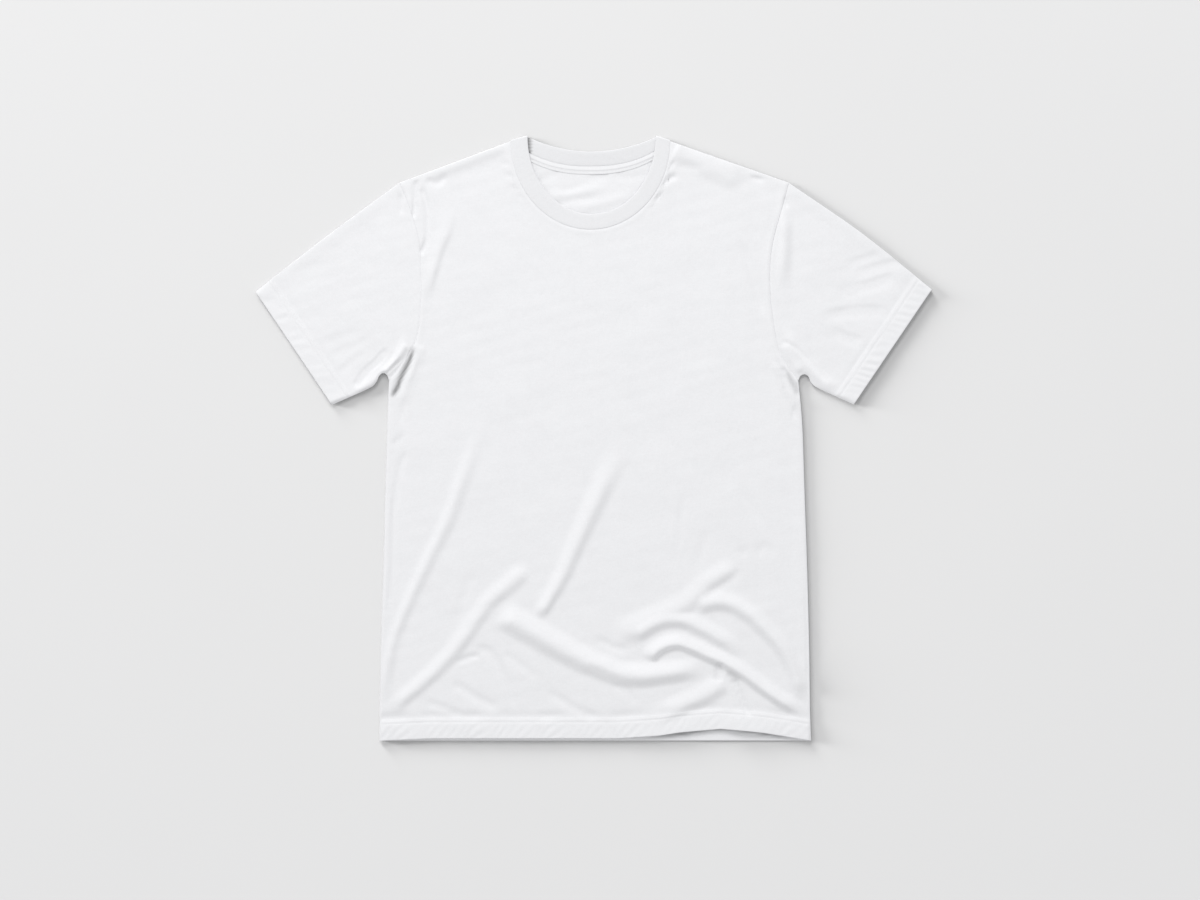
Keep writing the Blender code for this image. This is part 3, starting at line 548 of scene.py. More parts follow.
class Outline:
    """The garment's edges and seams as they lie, seen from above."""

    STEPS = 6  # points for each row of the tables of body edges

    def __init__(self) -> None:
        """Work the edges out from their tables."""
        self.sides = {side: self._body_edge(SIDE_SEAMS, side) for side in Side}
        self.armholes = {side: self._body_edge(ARMHOLES, side) for side in Side}
        self.sleeve_folds = {side: self._sleeve_fold(side) for side in Side}
        self.underarms = {side: self._underarm(side) for side in Side}
        self.closed = self._closed_edges()
        self.open = self._open_edges()
        even = np.linspace(-1.0, 1.0, 81)
        self.front_neck = Route(FRONT_SEAM.moved_out(SEAM_GAP).at(even))
        self.back_neck = Route(BACK_SEAM.moved_out(SEAM_GAP).at(even))

    def _body_edge(self, table: Sequence[BodyEdge], side: Side) -> Route:
        """One side of a table of body edges, from its first row up."""
        return Route(smooth_line(metres((getattr(row, side.word), row.y) for row in table),
                                 self.STEPS))

    def _sleeve_fold(self, side: Side) -> Route:
        """The top fold of a sleeve, from the tip of the shoulder to the cuff."""
        edge = SLEEVE_EDGES[side]
        tip = self.armholes[side].at(1.0)
        top = metres([edge.cuff_top])[0]
        run = top - tip
        out = np.array((-run[1], run[0])) / np.linalg.norm(run)
        out *= np.sign(out[1])
        middle = (tip + top) / 2 + out * edge.fold_bow * MM
        return Route(smooth_line(np.array((tip, middle, top)), 8))

    def _underarm(self, side: Side) -> Route:
        """The under edge of a sleeve, from the underarm to the cuff."""
        edge = SLEEVE_EDGES[side]
        places = [self.armholes[side].at(0.0), *metres(edge.under), *metres([edge.cuff_under])]
        return Route(smooth_line(np.array(places), 4))

    def _closed_edges(self) -> list[Route]:
        """The edges where upper and lower cloth join: sides, underarms, folds, shoulders."""
        edges = []
        for side in Side:
            under = self.underarms[side].points[1:]
            edges.append(Route(np.concatenate((self.sides[side].points, under))))
            neck = FRONT_SEAM.at(float(side.value))
            edges.append(Route(np.concatenate((self.sleeve_folds[side].points[::-1], [neck]))))
        return edges

    def edge_distances(self, places: Array) -> tuple[Array, Array]:
        """Distance from the closed edges, and the distance by which the upper cloth rounds."""
        flanks, tops = (nearest_of(self.closed[k::2], places) for k in (0, 1))
        return np.minimum(flanks, tops), np.minimum(flanks, TOP_SHARPNESS * tops)

    def _open_edges(self) -> list[Route]:
        """The hem and the two cuffs, where the cloth ends free."""
        hem = Route(np.array([self.sides[side].at(0.0) for side in Side]))
        cuffs = [Route(np.array((self.sleeve_folds[side].at(1.0), self.underarms[side].at(1.0))))
                 for side in Side]
        return [hem, *cuffs]


# ---- how the cloth lies


@dataclass(frozen=True)
class Undulation:
    """The slight, uneven rise and fall of cloth that a hand has smoothed flat.

    Attributes:
        rise: about how high the waves are together, in metres.
        shortest: shortest wave, in metres.
        longest: longest wave, in metres.
        count: how many waves are added up.
        seed: seed of their directions and phases.
    """

    rise: float = 0.32 * MM
    shortest: float = 15 * MM
    longest: float = 120 * MM
    count: int = 36
    seed: int = 7

    def height(self, places: Array) -> Array:
        """Height of the waves at places."""
        dice = np.random.default_rng(self.seed)
        total = np.zeros(places.shape[:-1])
        for step in range(self.count):
            length = self.shortest * (self.longest / self.shortest) ** (step / (self.count - 1))
            angle, phase = dice.uniform(0.0, 2 * math.pi, 2)
            pull = 2 * math.pi / length * np.array((math.cos(angle), math.sin(angle)))
            total += np.sin(places @ pull + phase) * math.sqrt(length / self.longest)
        return total * self.rise / math.sqrt(self.count / 2)


class Lie:
    """How the upper cloth lies: its rest, its swollen edges, its folds and its creases."""

    def __init__(self, outline: Outline) -> None:
        """Keep the outline and lay the routes of the folds on it."""
        self.outline = outline
        self.folds = self._routes(FOLDS.values())
        self.creases = self._routes(CREASES)
        self.wrinkles = self._routes(BACK_WRINKLES)
        self.painted_shades = {piece: self._routes(table) for piece, table in PAINTED_SHADES.items()}
        self.undulation = Undulation()

    @staticmethod
    def _routes(table: Iterable[Fold]) -> list[tuple[Fold, Route]]:
        """Each fold of a table with its route."""
        return [(fold, Route(smooth_line(metres(fold.route), 5))) for fold in table]

    @staticmethod
    def _share(fold: Fold, route: Route, places: Array) -> Array:
        """Share of a fold's height that the cloth has.

        Args:
            fold: the fold.
            route: its route on the cloth.
            places: places in the plane.

        Returns:
            The share at each place: 1 on the fold's crest and 0 past its flanks.
        """
        share = np.zeros(places.shape[:-1])
        widest = max(fold.left, fold.right) * max(1.0, fold.taper) * MM
        low, high = route.points.min(0) - widest, route.points.max(0) + widest
        near = ((places > low) & (places < high)).all(-1)
        if near.any():
            distance, along, side = route.nearest(places[near])
            reach = np.where(side > 0, fold.left, fold.right) * MM
            reach *= 1.0 + (fold.taper - 1.0) * along / route.length
            value = np.cos(math.pi / 2 * np.clip(distance / reach, 0.0, 1.0)) ** 2
            value *= ease(along / (fold.fade_in * MM))
            value *= ease((route.length - along) / (fold.fade_out * MM))
            share[near] = value
        return share

    def fold_height(self, places: Array) -> Array:
        """Height that the large folds add."""
        total = sum((fold.height * MM * self._share(fold, route, places)) ** FOLD_BLEND
                    for fold, route in self.folds)
        return total ** (1.0 / FOLD_BLEND)

    def crease_height(self, creases: list[tuple[Fold, Route]], places: Array) -> Array:
        """Height that a table of creases adds."""
        return sum(fold.height * MM * self._share(fold, route, places)
                   for fold, route in creases)

    def painted_shade(self, piece: str, places: Array) -> Array:
        """How much painted shade darkens a piece's colour at places, from 0 to 1."""
        return np.max([fold.height * self._share(fold, route, places)
                       for fold, route in self.painted_shades[piece]], axis=0)

    def upper_top(self, places: Array, edge: Array, rounded: Array) -> Array:
        """Height of the upper cloth's outer face where no edge rounds it down.

        Args:
            places: places in the plane.
            edge: their distance from the closed edges.
            rounded: the distance by which the cloth rounds.

        Returns:
            The height at each place.
        """
        puff = PUFF * bell(edge - PUFF_INSET, PUFF_REACH)
        hem = HEM_REST * ease(1.0 - nearest_of(self.outline.open, places) / HEM_REST_REACH)
        soft = self.crease_height(self.creases, places) + self.undulation.height(places)
        body = ease((0.5 * BODY_WIDTH + LOFT_RUN - np.abs(places[..., 0])) / (3 * LOFT_RUN))
        loft = LOFT * ease((edge - PUFF_INSET) / LOFT_RUN) * body
        rest = FRONT_REST + WALL / 2 + puff + hem + loft
        return rest + self.fold_height(places) + soft * ease(rounded / PUFF_INSET)

    @staticmethod
    def clear(top: Array, skin: Array) -> Array:
        """Keep the upper cloth softly off the cloth below it.

        Args:
            top: heights of the upper cloth's outer face.
            skin: thickness of each of the two cloths there.

        Returns:
            The heights, raised where the cloths would meet.
        """
        spare = top - 2 * skin - CLEARANCE - (WALL - JERSEY)
        return top - spare + (spare + np.hypot(spare, 0.25 * MM)) / 2


def seam_relief(distance: Array, sink: float, allowance: float) -> Array:
    """Height that a seam gives the cloth beside it.

    Args:
        distance: distance from the seam.
        sink: how deep the cloth dips into the seam.
        allowance: how far the seam's allowances lift the cloth on this side of it.

    Returns:
        The height to add.
    """
    lifted = 1.0 - ease((distance - 0.7 * ALLOWANCE_WIDTH) / (0.6 * ALLOWANCE_WIDTH))
    return allowance * lifted - sink * bell(distance, SEAM_SINK_REACH)


def band_lift(share: Array) -> Array:
    """Height of the middle of the front of the band, for shares from -1 to 1 along it."""
    radius = np.where(np.asarray(share) < 0.0, *BAND_TURN_RADII.values())
    climb = BAND_BACK_HEIGHT + 2 * radius - BAND_FRONT_HEIGHT
    return BAND_FRONT_HEIGHT + climb * np.abs(np.sin(share * math.pi / 2)) ** 3


class HemLie(NamedTuple):
    """How a turned hem lies: its slanting ripples and the dip of the cloth above it."""

    ripple: float  # height of the ripples
    pitch: float  # distance from one to the next
    slant: float  # how far they lean for each metre up
    dip: float  # depth of the dip above the hem
    tilt: float  # how much higher its edge lies than its sewn rows
    seed: int


BODY_HEM = HemLie(0.45 * MM, 11.5 * MM, slant=-0.8, dip=1.4 * MM, tilt=0.6 * MM, seed=3)
CUFF_HEMS = {
    Side.LEFT: HemLie(0.20 * MM, 18.5 * MM, slant=0.5, dip=0.4 * MM, tilt=0.5 * MM, seed=10),
    Side.RIGHT: HemLie(0.30 * MM, 9.8 * MM, slant=0.4, dip=0.5 * MM, tilt=0.1 * MM, seed=12),
}


def hem_relief(distance: Array, along: Array, hem: HemLie) -> Array:
    """Height that a turned hem gives its cloth: the doubled part, the rows and the ripples.

    Args:
        distance: distance from the hem's edge.
        along: distance along the hem.
        hem: how it lies.

    Returns:
        The height to add.
    """
    doubled = HEM_SWELL * ease((STITCH_ROWS[1] + 1.2 * MM - distance) / (2.2 * MM))
    sunk = -ROW_SINK * bell(distance - STITCH_ROWS[0], ROW_SINK_REACH)
    wander = Undulation(rise=1.0, shortest=25 * MM, longest=140 * MM, count=9, seed=hem.seed)
    uneven = wander.height(np.stack((along, 0 * along), -1))
    dip = -hem.dip * bell(distance - HEM_DIP_HEIGHT, HEM_DIP_REACH) * (1.0 + 0.6 * uneven)
    slanted = along + hem.slant * distance
    ripple = np.sin(2 * math.pi * slanted / hem.pitch + 2.2 * uneven)
    window = ease(distance / (4 * MM)) * ease((STITCH_ROWS[0] - distance) / (5 * MM))
    tilt = hem.tilt * ease(1.0 - distance / STITCH_ROWS[0])
    return doubled + sunk + dip + tilt + hem.ripple * ripple * window * (1.0 + 0.5 * uneven)


# ---- meshes


def clustered(length: float, spacing: float, near: Sequence[float], both: bool = True) -> Array:
    """Distances along a length, closer together near its ends.

    Args:
        length: the length.
        spacing: about how far apart they are on its plain stretch.
        near: the distances near its start.
        both: whether its end has them too.

    Returns:
        The distances, from 0 to the length.
    """
    start = list(near)
    end = [length - step for step in reversed(near)] if both else [length]
    steps = max(2, round((end[0] - start[-1]) / spacing))
    middle = np.linspace(start[-1], end[0], steps + 1)[1:-1]
    return np.concatenate((start, middle, end))


def placed(name: str, data: ID) -> Object:
    """Put a new object with its data into the scene."""
    thing = bpy.data.objects.new(name, data)
    bpy.context.scene.collection.objects.link(thing)
    return thing


def mesh_object(name: str, points: Array, quads: Array, flat_places: Array) -> Object:
    """Make an object of points and quads.

    Args:
        name: name of the object.
        points: its points, one a row.
        quads: the four points of each face, one face a row.
        flat_places: each point's place on the flat cloth, in metres, for the UV map.

    Returns:
        The object, smooth shaded, with its UV map named cut.
    """
    mesh = bpy.data.meshes.new(name)
    mesh.vertices.add(len(points))
    mesh.vertices.foreach_set("co", points.astype(np.float32).ravel())
    mesh.loops.add(quads.size)
    mesh.loops.foreach_set("vertex_index", quads.astype(np.int32).ravel())
    mesh.polygons.add(len(quads))
    mesh.polygons.foreach_set("loop_start", np.arange(0, quads.size, 4, dtype=np.int32))
    mesh.update(calc_edges=True)
    mesh.validate()
    cut = mesh.uv_layers.new(name="cut")
    cut.data.foreach_set("uv", flat_places[quads.ravel()].astype(np.float32).ravel())
    mesh.shade_smooth()
    return placed(name, mesh)


def point_value(thing: Object, name: str, values: Array) -> None:
    """Store a number on each of an object's points."""
    attribute = thing.data.attributes.new(name, "FLOAT", "POINT")
    attribute.data.foreach_set("value", values.ravel().astype(np.float32))


def grid_quads(rows: int, columns: int, first: int, flip: bool, wrap: bool) -> Array:
    """Faces of a grid of points numbered from first, row by row.

    Args:
        rows: rows of points.
        columns: points in a row.
        first: number of the first point.
        flip: whether the faces turn the other way.
        wrap: whether each row closes on itself.

    Returns:
        The four points of each face, one face a row.
    """
    i = np.arange(rows - 1)[:, None]
    j = np.arange(columns if wrap else columns - 1)[None, :]
    k = (j + 1) % columns
    corners = (i * columns + j, i * columns + k, (i + 1) * columns + k, (i + 1) * columns + j)
    quads = first + np.stack([corner.ravel() for corner in corners], -1)
    return quads[:, ::-1] if flip else quads


def rim_quads(rim: Array, size: int) -> Array:
    """Faces between a rim of points and the same rim of the layer size points further on."""
    ahead = np.roll(rim, -1)
    return np.stack((ahead, rim, rim + size, ahead + size), -1)


def sheet_shell(name: str, top: Array, bottom: Array) -> Object:
    """Make a closed shell between two faces.

    Args:
        name: name of the object.
        top: grid of the points of the upper face.
        bottom: the same of the lower face.

    Returns:
        The object, with its faces turned out.
    """
    rows, columns = top.shape[:2]
    size = rows * columns
    points = np.concatenate((top.reshape(-1, 3), bottom.reshape(-1, 3)))
    rim = np.concatenate((
        np.arange(columns),
        np.arange(1, rows) * columns + columns - 1,
        (rows - 1) * columns + np.arange(columns - 2, -1, -1),
        np.arange(rows - 2, 0, -1) * columns))
    quads = np.concatenate((grid_quads(rows, columns, 0, False, False),
                            grid_quads(rows, columns, size, True, False),
                            rim_quads(rim, size)))
    return turned_out(mesh_object(name, points, quads, points[:, :2]))


def tube_shell(name: str, outer: Array, inner: Array, flat_places: Array) -> Object:
    """Make a closed shell between two tubes.

    Args:
        name: name of the object.
        outer: rings of the points of the outer tube.
        inner: the same of the inner tube.
        flat_places: the place of each of a tube's points on the flat cloth.

    Returns:
        The object, with its faces turned out.
    """
    rows, columns = outer.shape[:2]
    size = rows * columns
    points = np.concatenate((outer.reshape(-1, 3), inner.reshape(-1, 3)))
    first, last = np.arange(columns), (rows - 1) * columns + np.arange(columns)
    quads = np.concatenate((grid_quads(rows, columns, 0, False, True),
                            grid_quads(rows, columns, size, True, True),
                            rim_quads(first, size), rim_quads(last, size)[:, ::-1]))
    flat_places = np.concatenate((flat_places, flat_places))
    return turned_out(mesh_object(name, points, quads, flat_places))


def turned_out(thing: Object) -> Object:
    """Turn an object's faces so that they point outwards."""
    mesh = thing.data
    mesh.calc_loop_triangles()
    corners = np.zeros(len(mesh.loop_triangles) * 3, dtype=np.int32)
    mesh.loop_triangles.foreach_get("vertices", corners)
    places = np.zeros(len(mesh.vertices) * 3, dtype=np.float32)
    mesh.vertices.foreach_get("co", places)
    a, b, c = places.reshape(-1, 3)[corners.reshape(-1, 3)].astype(float).transpose(1, 0, 2)
    if (a * np.cross(b, c)).sum() < 0.0:
        mesh.flip_normals()
    return thing


def surface_area(thing: Object) -> float:
    """Area of all of an object's faces."""
    areas = np.zeros(len(thing.data.polygons), dtype=np.float32)
    thing.data.polygons.foreach_get("area", areas)
    return float(areas.sum())


# ---- shader node groups


class NodeBoard:
    """A small helper that adds nodes to a tree and joins their sockets."""

    def __init__(self, tree: NodeTree) -> None:
        """Work on a tree."""
        self.tree = tree

    def add(self, kind: str, inputs: Optional[dict] = None, **settings: object) -> Node:
        """Add a node.

        Args:
            kind: the node's type name.
            inputs: values or sockets for its inputs, by name or number.
            settings: properties to set on the node first.

        Returns:
            The node.
        """
        node = self.tree.nodes.new(kind)
        for key, value in settings.items():
            setattr(node, key, value)
        for key, value in (inputs or {}).items():
            if isinstance(value, NodeSocket):
                self.join(value, node.inputs[key])
            else:
                node.inputs[key].default_value = value
        return node

    def join(self, source: NodeSocket, target: NodeSocket) -> None:
        """Link a node's output to another's input."""
        self.tree.links.new(source, target)

    def math(self, operation: str, *values: object) -> NodeSocket:
        """The result of a Math node."""
        node = self.add("ShaderNodeMath", dict(enumerate(values)), operation=operation)
        return node.outputs["Value"]

    def loops(self, count: NodeSocket) -> NodeSocket:
        """A row of round loops: 0 at each whole number and 1 halfway between."""
        return self.math("ABSOLUTE", self.math("SINE", self.math("MULTIPLY", count, math.pi)))

    def scaled(self, vector: object, factor: object) -> NodeSocket:
        """A vector or colour times a factor."""
        node = self.add("ShaderNodeVectorMath", {0: vector, "Scale": factor}, operation="SCALE")
        return node.outputs["Vector"]

    def dressed(self, geometry: NodeSocket, finish: NodeSocket) -> NodeSocket:
        """Geometry with its instances made real, in a material."""
        real = self.add("GeometryNodeRealizeInstances", {"Geometry": geometry})
        node = self.add("GeometryNodeSetMaterial", {
            "Geometry": real.outputs["Geometry"], "Material": finish})
        return node.outputs["Geometry"]


SOCKETS = {float: "NodeSocketFloat", int: "NodeSocketInt", tuple: "NodeSocketColor"}


def new_group(name: str, kind: str, inputs: dict[str, object], outputs: dict[str, str]) -> tuple:
    """Start a node group.

    Args:
        name: the group's name.
        kind: ShaderNodeTree or GeometryNodeTree.
        inputs: for each input its default value, or its socket type where it has none.
        outputs: for each output its socket type.

    Returns:
        The group, its board, the sockets that give its inputs and those of its outputs.
    """
    group = bpy.data.node_groups.new(name, kind)
    for label, given in inputs.items():
        plain = isinstance(given, str)
        socket = group.interface.new_socket(
            label, in_out="INPUT", socket_type=given if plain else SOCKETS[type(given)])
        if not plain:
            socket.default_value = given
    for label, socket_type in outputs.items():
        group.interface.new_socket(label, in_out="OUTPUT", socket_type=socket_type)
    board = NodeBoard(group)
    given, result = board.add("NodeGroupInput"), board.add("NodeGroupOutput")
    return group, board, given.outputs, result.inputs


def yarn_tone_group() -> NodeTree:
    """Node group: the slight unevenness of yarn, as a colour that varies over the cloth.

    Returns:
        The group. Its inputs are the place on the cloth, the colour, and how far the fine
        grain, the short streaks and the soft clouds lighten or darken it.
    """
    group, board, given, result = new_group(
        "yarn_tone", "ShaderNodeTree",
        {"Place": "NodeSocketVector", "Colour": (0.85, 0.85, 0.85, 1.0), "Grain": 0.03,
         "Streaks": 0.03, "Clouds": 0.01},
        {"Colour": "NodeSocketColor"})
    tone = None
    layers = (("Grain", (1.0, 1.15, 1.0), 620.0, 2.0), ("Streaks", (0.45, 1.0, 1.0), 330.0, 3.0),
              ("Clouds", (1.0, 1.0, 1.0), 24.0, 2.0))
    for label, stretch, scale, detail in layers:
        place = board.add("ShaderNodeMapping", {"Vector": given["Place"], "Scale": stretch})
        noise = board.add("ShaderNodeTexNoise", {
            "Vector": place.outputs["Vector"], "Scale": scale, "Detail": detail, "Roughness": 0.6})
        centred = board.math("SUBTRACT", noise.outputs["Fac"], 0.5)
        part = board.math("MULTIPLY", centred, given[label])
        tone = part if tone is None else board.math("ADD", tone, part)
    toned = board.scaled(given["Colour"], board.math("ADD", tone, 1.0))
    board.join(toned, result["Colour"])
    return group


def knit_relief_group() -> NodeTree:
    """Node group: the relief of plain knit, columns of small V shaped stitches.

    Returns:
        The group. Its inputs are the place on the cloth, the width of a wale, the height
        of a course, how far single stitches stray, and the depths of the knit and of the
        cloth's soft crepe; it puts out a height in metres.
    """
    group, board, given, result = new_group(
        "knit_relief", "ShaderNodeTree",
        {"Place": "NodeSocketVector", "Wale": 0.8 * MM, "Course": 0.6 * MM, "Stray": 0.3 * MM,
         "Relief": 0.05 * MM, "Crepe": 0.2 * MM},
        {"Height": "NodeSocketFloat"})
    noise = board.add("ShaderNodeTexNoise", {
        "Vector": given["Place"], "Scale": 260.0, "Detail": 2.0})
    centred = board.add("ShaderNodeVectorMath", {0: noise.outputs["Color"], 1: (0.5, 0.5, 0.5)},
                        operation="SUBTRACT")
    strayed = board.scaled(centred.outputs["Vector"], given["Stray"])
    place = board.add("ShaderNodeVectorMath", {0: given["Place"], 1: strayed},
                      operation="ADD")
    axes = board.add("ShaderNodeSeparateXYZ", {"Vector": place.outputs["Vector"]})
    wave = board.loops(board.math("DIVIDE", axes.outputs["X"], given["Wale"]))
    up = board.math("DIVIDE", axes.outputs["Y"], given["Course"])
    course = board.loops(board.math("ADD", up, board.math("MULTIPLY", wave, 0.6)))
    height = board.math("MULTIPLY_ADD", course, 0.45, board.math("MULTIPLY", wave, 0.55))
    height = board.math("MULTIPLY", height, given["Relief"])
    leaning = board.add("ShaderNodeMapping", {
        "Vector": given["Place"], "Rotation": (0.0, 0.0, 0.7), "Scale": (1.0, 0.55, 1.0)})
    crepe = board.add("ShaderNodeTexNoise", {
        "Vector": leaning.outputs["Vector"], "Scale": 170.0, "Detail": 2.5, "Roughness": 0.55})
    height = board.math("MULTIPLY_ADD", crepe.outputs["Fac"], given["Crepe"], height)
    board.join(height, result["Height"])
    return group


# ---- finishes


def plain_material(name: str, specular: float, roughness: float) -> tuple:
    """Start a material.

    Args:
        name: its name.
        specular: specular level of its surface.
        roughness: roughness of its surface.

    Returns:
        The material, its board and its Principled BSDF.
    """
    material = bpy.data.materials.new(name)
    material.use_nodes = True
    surface = material.node_tree.nodes["Principled BSDF"]
    surface.inputs["Specular IOR Level"].default_value = specular
    surface.inputs["Roughness"].default_value = roughness
    return material, NodeBoard(material.node_tree), surface


@dataclass(frozen=True)
class ClothFinish:
    """Matt white cotton cloth.

    Attributes:
        name: name of the material.
        colour: colour of the cloth.
        grain: how far the fine grain of the yarn lightens or darkens it.
        streaks: the same for short streaks across the cloth.
        clouds: the same for soft patches.
        wale: width of a column of stitches, in metres.
        course: height of a row of stitches, in metres.
        stray: how far single stitches stray, as a share of the wale.
        relief: depth of the knit, in metres.
        crepe: depth of the cloth's soft unevenness between the stitches' size and a hand's.
        roughness: roughness of the surface.
        specular: specular level of the surface.
        sheen: strength of the fuzz that catches light at a low angle.
        sheen_roughness: roughness of that fuzz.
    """

    name: str
    colour: tuple[float, float, float] = (0.868, 0.868, 0.880)
    grain: float = 0.10
    streaks: float = 0.06
    clouds: float = 0.02
    wale: float = 0.80 * MM
    course: float = 0.62 * MM
    stray: float = 0.4
    relief: float = 0.05 * MM
    crepe: float = 0.34 * MM
    roughness: float = 0.88
    specular: float = 0.25
    sheen: float = 0.06
    sheen_roughness: float = 0.5

    def material(self, tone: NodeTree, knit: NodeTree) -> Material:
        """Make the material.

        Args:
            tone: the node group of the yarn's unevenness.
            knit: the node group of the knit's relief.

        Returns:
            The material.
        """
        material, board, surface = plain_material(self.name, self.specular, self.roughness)
        surface.inputs["Sheen Weight"].default_value = self.sheen
        surface.inputs["Sheen Roughness"].default_value = self.sheen_roughness
        cut = board.add("ShaderNodeUVMap", uv_map="cut").outputs["UV"]
        toned = board.add("ShaderNodeGroup", {
            "Place": cut, "Colour": (*self.colour, 1.0), "Grain": self.grain,
            "Streaks": self.streaks, "Clouds": self.clouds}, node_tree=tone)
        relief = board.add("ShaderNodeGroup", {
            "Place": cut, "Wale": self.wale, "Course": self.course, "Stray": self.stray * self.wale,
            "Relief": self.relief, "Crepe": self.crepe}, node_tree=knit)
        bump = board.add("ShaderNodeBump", {
            "Height": relief.outputs["Height"], "Distance": 1.0, "Strength": 1.0})
        # Painted shade: the colour is darkened by the value stored on the points in crevices and
        # under the lifted front hem.
        painted_crevice_shade = board.add("ShaderNodeAttribute", attribute_name="painted_crevice_shade").outputs["Fac"]
        shaded = board.scaled(toned.outputs["Colour"], board.math("SUBTRACT", 1.0, painted_crevice_shade))
        board.join(shaded, surface.inputs["Base Color"])
        board.join(bump.outputs["Normal"], surface.inputs["Normal"])
        return material


@dataclass(frozen=True)
class ThreadFinish:
    """White sewing thread, a little smoother than the cloth.

    Attributes:
        colour: colour of the thread.
        roughness: roughness of its surface.
        specular: specular level of its surface.
        twist: length of a turn of its twist, in metres.
        relief: depth of the twist, in metres.
    """

    colour: tuple[float, float, float] = (0.90, 0.90, 0.905)
    roughness: float = 0.6
    specular: float = 0.35
    twist: float = 0.35 * MM
    relief: float = 0.03 * MM

    def material(self) -> Material:
        """Make the material, with the twist of the thread as bands across it.

        Returns:
            The material.
        """
        material, board, surface = plain_material("sewing_thread", self.specular, self.roughness)
        place = board.add("ShaderNodeTexCoord").outputs["Object"]
        bands = board.add("ShaderNodeTexWave", {
            "Vector": place, "Scale": 1.0 / (2 * math.pi * self.twist), "Distortion": 1.0},
            bands_direction="DIAGONAL")
        shade = board.math("MULTIPLY_ADD", bands.outputs["Fac"], 0.05, 0.95)
        board.join(board.scaled(self.colour, shade), surface.inputs["Base Color"])
        bump = board.add("ShaderNodeBump", {
            "Height": bands.outputs["Fac"], "Distance": self.relief, "Strength": 1.0})
        board.join(bump.outputs["Normal"], surface.inputs["Normal"])
        return material


@dataclass(frozen=True)
class FloorFinish:
    """Pale matt floor.

    Attributes:
        colour: colour of the floor.
        roughness: roughness of its surface.
        specular: specular level of its surface.
    """

    colour: tuple[float, float, float] = (0.515, 0.514, 0.514)
    roughness: float = 0.9
    specular: float = 0.1

    def material(self) -> Material:
        """Make the material, very slightly uneven in tone.

        Returns:
            The material.
        """
        material, board, surface = plain_material("pale_floor", self.specular, self.roughness)
        place = board.add("ShaderNodeTexCoord").outputs["Object"]
        noise = board.add("ShaderNodeTexNoise", {"Vector": place, "Scale": 3.0, "Detail": 4.0})
        shade = board.math("MULTIPLY_ADD", noise.outputs["Fac"], 0.02, 0.99)
        board.join(board.scaled(self.colour, shade), surface.inputs["Base Color"])
        return material


class Finishes:
    """The materials of the garment, each made once."""

    def __init__(self) -> None:
        """Make the shared node groups and the materials."""
        tone, knit = yarn_tone_group(), knit_relief_group()
        jersey = ClothFinish("white_jersey")
        # The rib is a little darker than the jersey: painted shade for the shaded inside of the
        # back of the band, though the whole band has it.
        rib = ClothFinish("white_rib", colour=(0.838, 0.838, 0.849), streaks=0.03, wale=0.62 * MM)
        tape = ClothFinish("white_neck_tape", colour=(0.860, 0.860, 0.871), streaks=0.03,
                           wale=1.0 * MM, course=0.5 * MM)
        self.jersey, self.rib, self.tape = (finish.material(tone, knit)
                                            for finish in (jersey, rib, tape))
        self.thread = ThreadFinish().material()


# ---- geometry node trees


def set_modifier_input(modifier: NodesModifier, label: str, value: object) -> None:
    """Set an input of a Geometry Nodes modifier by its socket's identifier."""
    for item in modifier.node_group.interface.items_tree:
        if item.item_type == "SOCKET" and item.in_out == "INPUT" and item.name == label:
            modifier[item.identifier] = value
            return
    raise KeyError(label)


def applied(thing: Object, group: NodeTree, inputs: dict[str, object]) -> None:
    """Run a Geometry Nodes tree on an object and keep the result as its plain mesh.

    Args:
        thing: the object.
        group: the tree.
        inputs: values for the tree's inputs, by name.
    """
    modifier = thing.modifiers.new(group.name, "NODES")
    modifier.node_group = group
    for label, value in inputs.items():
        set_modifier_input(modifier, label, value)
    bpy.context.view_layer.update()
    seen = thing.evaluated_get(bpy.context.evaluated_depsgraph_get())
    mesh = bpy.data.meshes.new_from_object(seen)
    thing.modifiers.remove(modifier)
    old = thing.data
    thing.data = mesh
    mesh.name = thing.name
    bpy.data.meshes.remove(old)


def stitch_tree() -> NodeTree:
    """Geometry Nodes tree: a row of stitches along every edge path of a mesh.

    Returns:
        The tree. Each stitch is a short rounded piece of thread that lies along the path.
    """
    group, board, given, result = new_group(
        "stitch_row", "GeometryNodeTree",
        {"Geometry": "NodeSocketGeometry", "Pitch": 3.0 * MM, "Cover": 0.8, "Thread": 0.2 * MM,
         "Stray": 0.06, "Seed": 1, "Finish": "NodeSocketMaterial"},
        {"Geometry": "NodeSocketGeometry"})
    path = board.add("GeometryNodeMeshToCurve", {"Mesh": given["Geometry"]})
    points = board.add("GeometryNodeCurveToPoints", {
        "Curve": path.outputs["Curve"], "Length": given["Pitch"]}, mode="LENGTH")
    ball = board.add("GeometryNodeMeshUVSphere", {"Segments": 8, "Rings": 6, "Radius": 1.0})
    smooth = board.add("GeometryNodeSetShadeSmooth", {"Geometry": ball.outputs["Mesh"]})
    half = board.math("MULTIPLY", board.math("MULTIPLY", given["Pitch"], given["Cover"]), 0.5)
    size = board.add("ShaderNodeCombineXYZ", {
        "X": given["Thread"], "Y": given["Thread"], "Z": half})
    stray = board.add("FunctionNodeRandomValue", {
        "Min": (-1.0, -1.0, -1.0), "Max": (1.0, 1.0, 1.0), "Seed": given["Seed"]},
        data_type="FLOAT_VECTOR")
    laid = board.add("GeometryNodeInstanceOnPoints", {
        "Points": points.outputs["Points"], "Instance": smooth.outputs["Geometry"],
        "Rotation": points.outputs["Rotation"], "Scale": size.outputs["Vector"]})
    turned = board.add("GeometryNodeRotateInstances", {
        "Instances": laid.outputs["Instances"],
        "Rotation": board.scaled(stray.outputs["Value"], given["Stray"])})
    board.join(board.dressed(turned.outputs["Instances"], given["Finish"]), result["Geometry"])
    return group


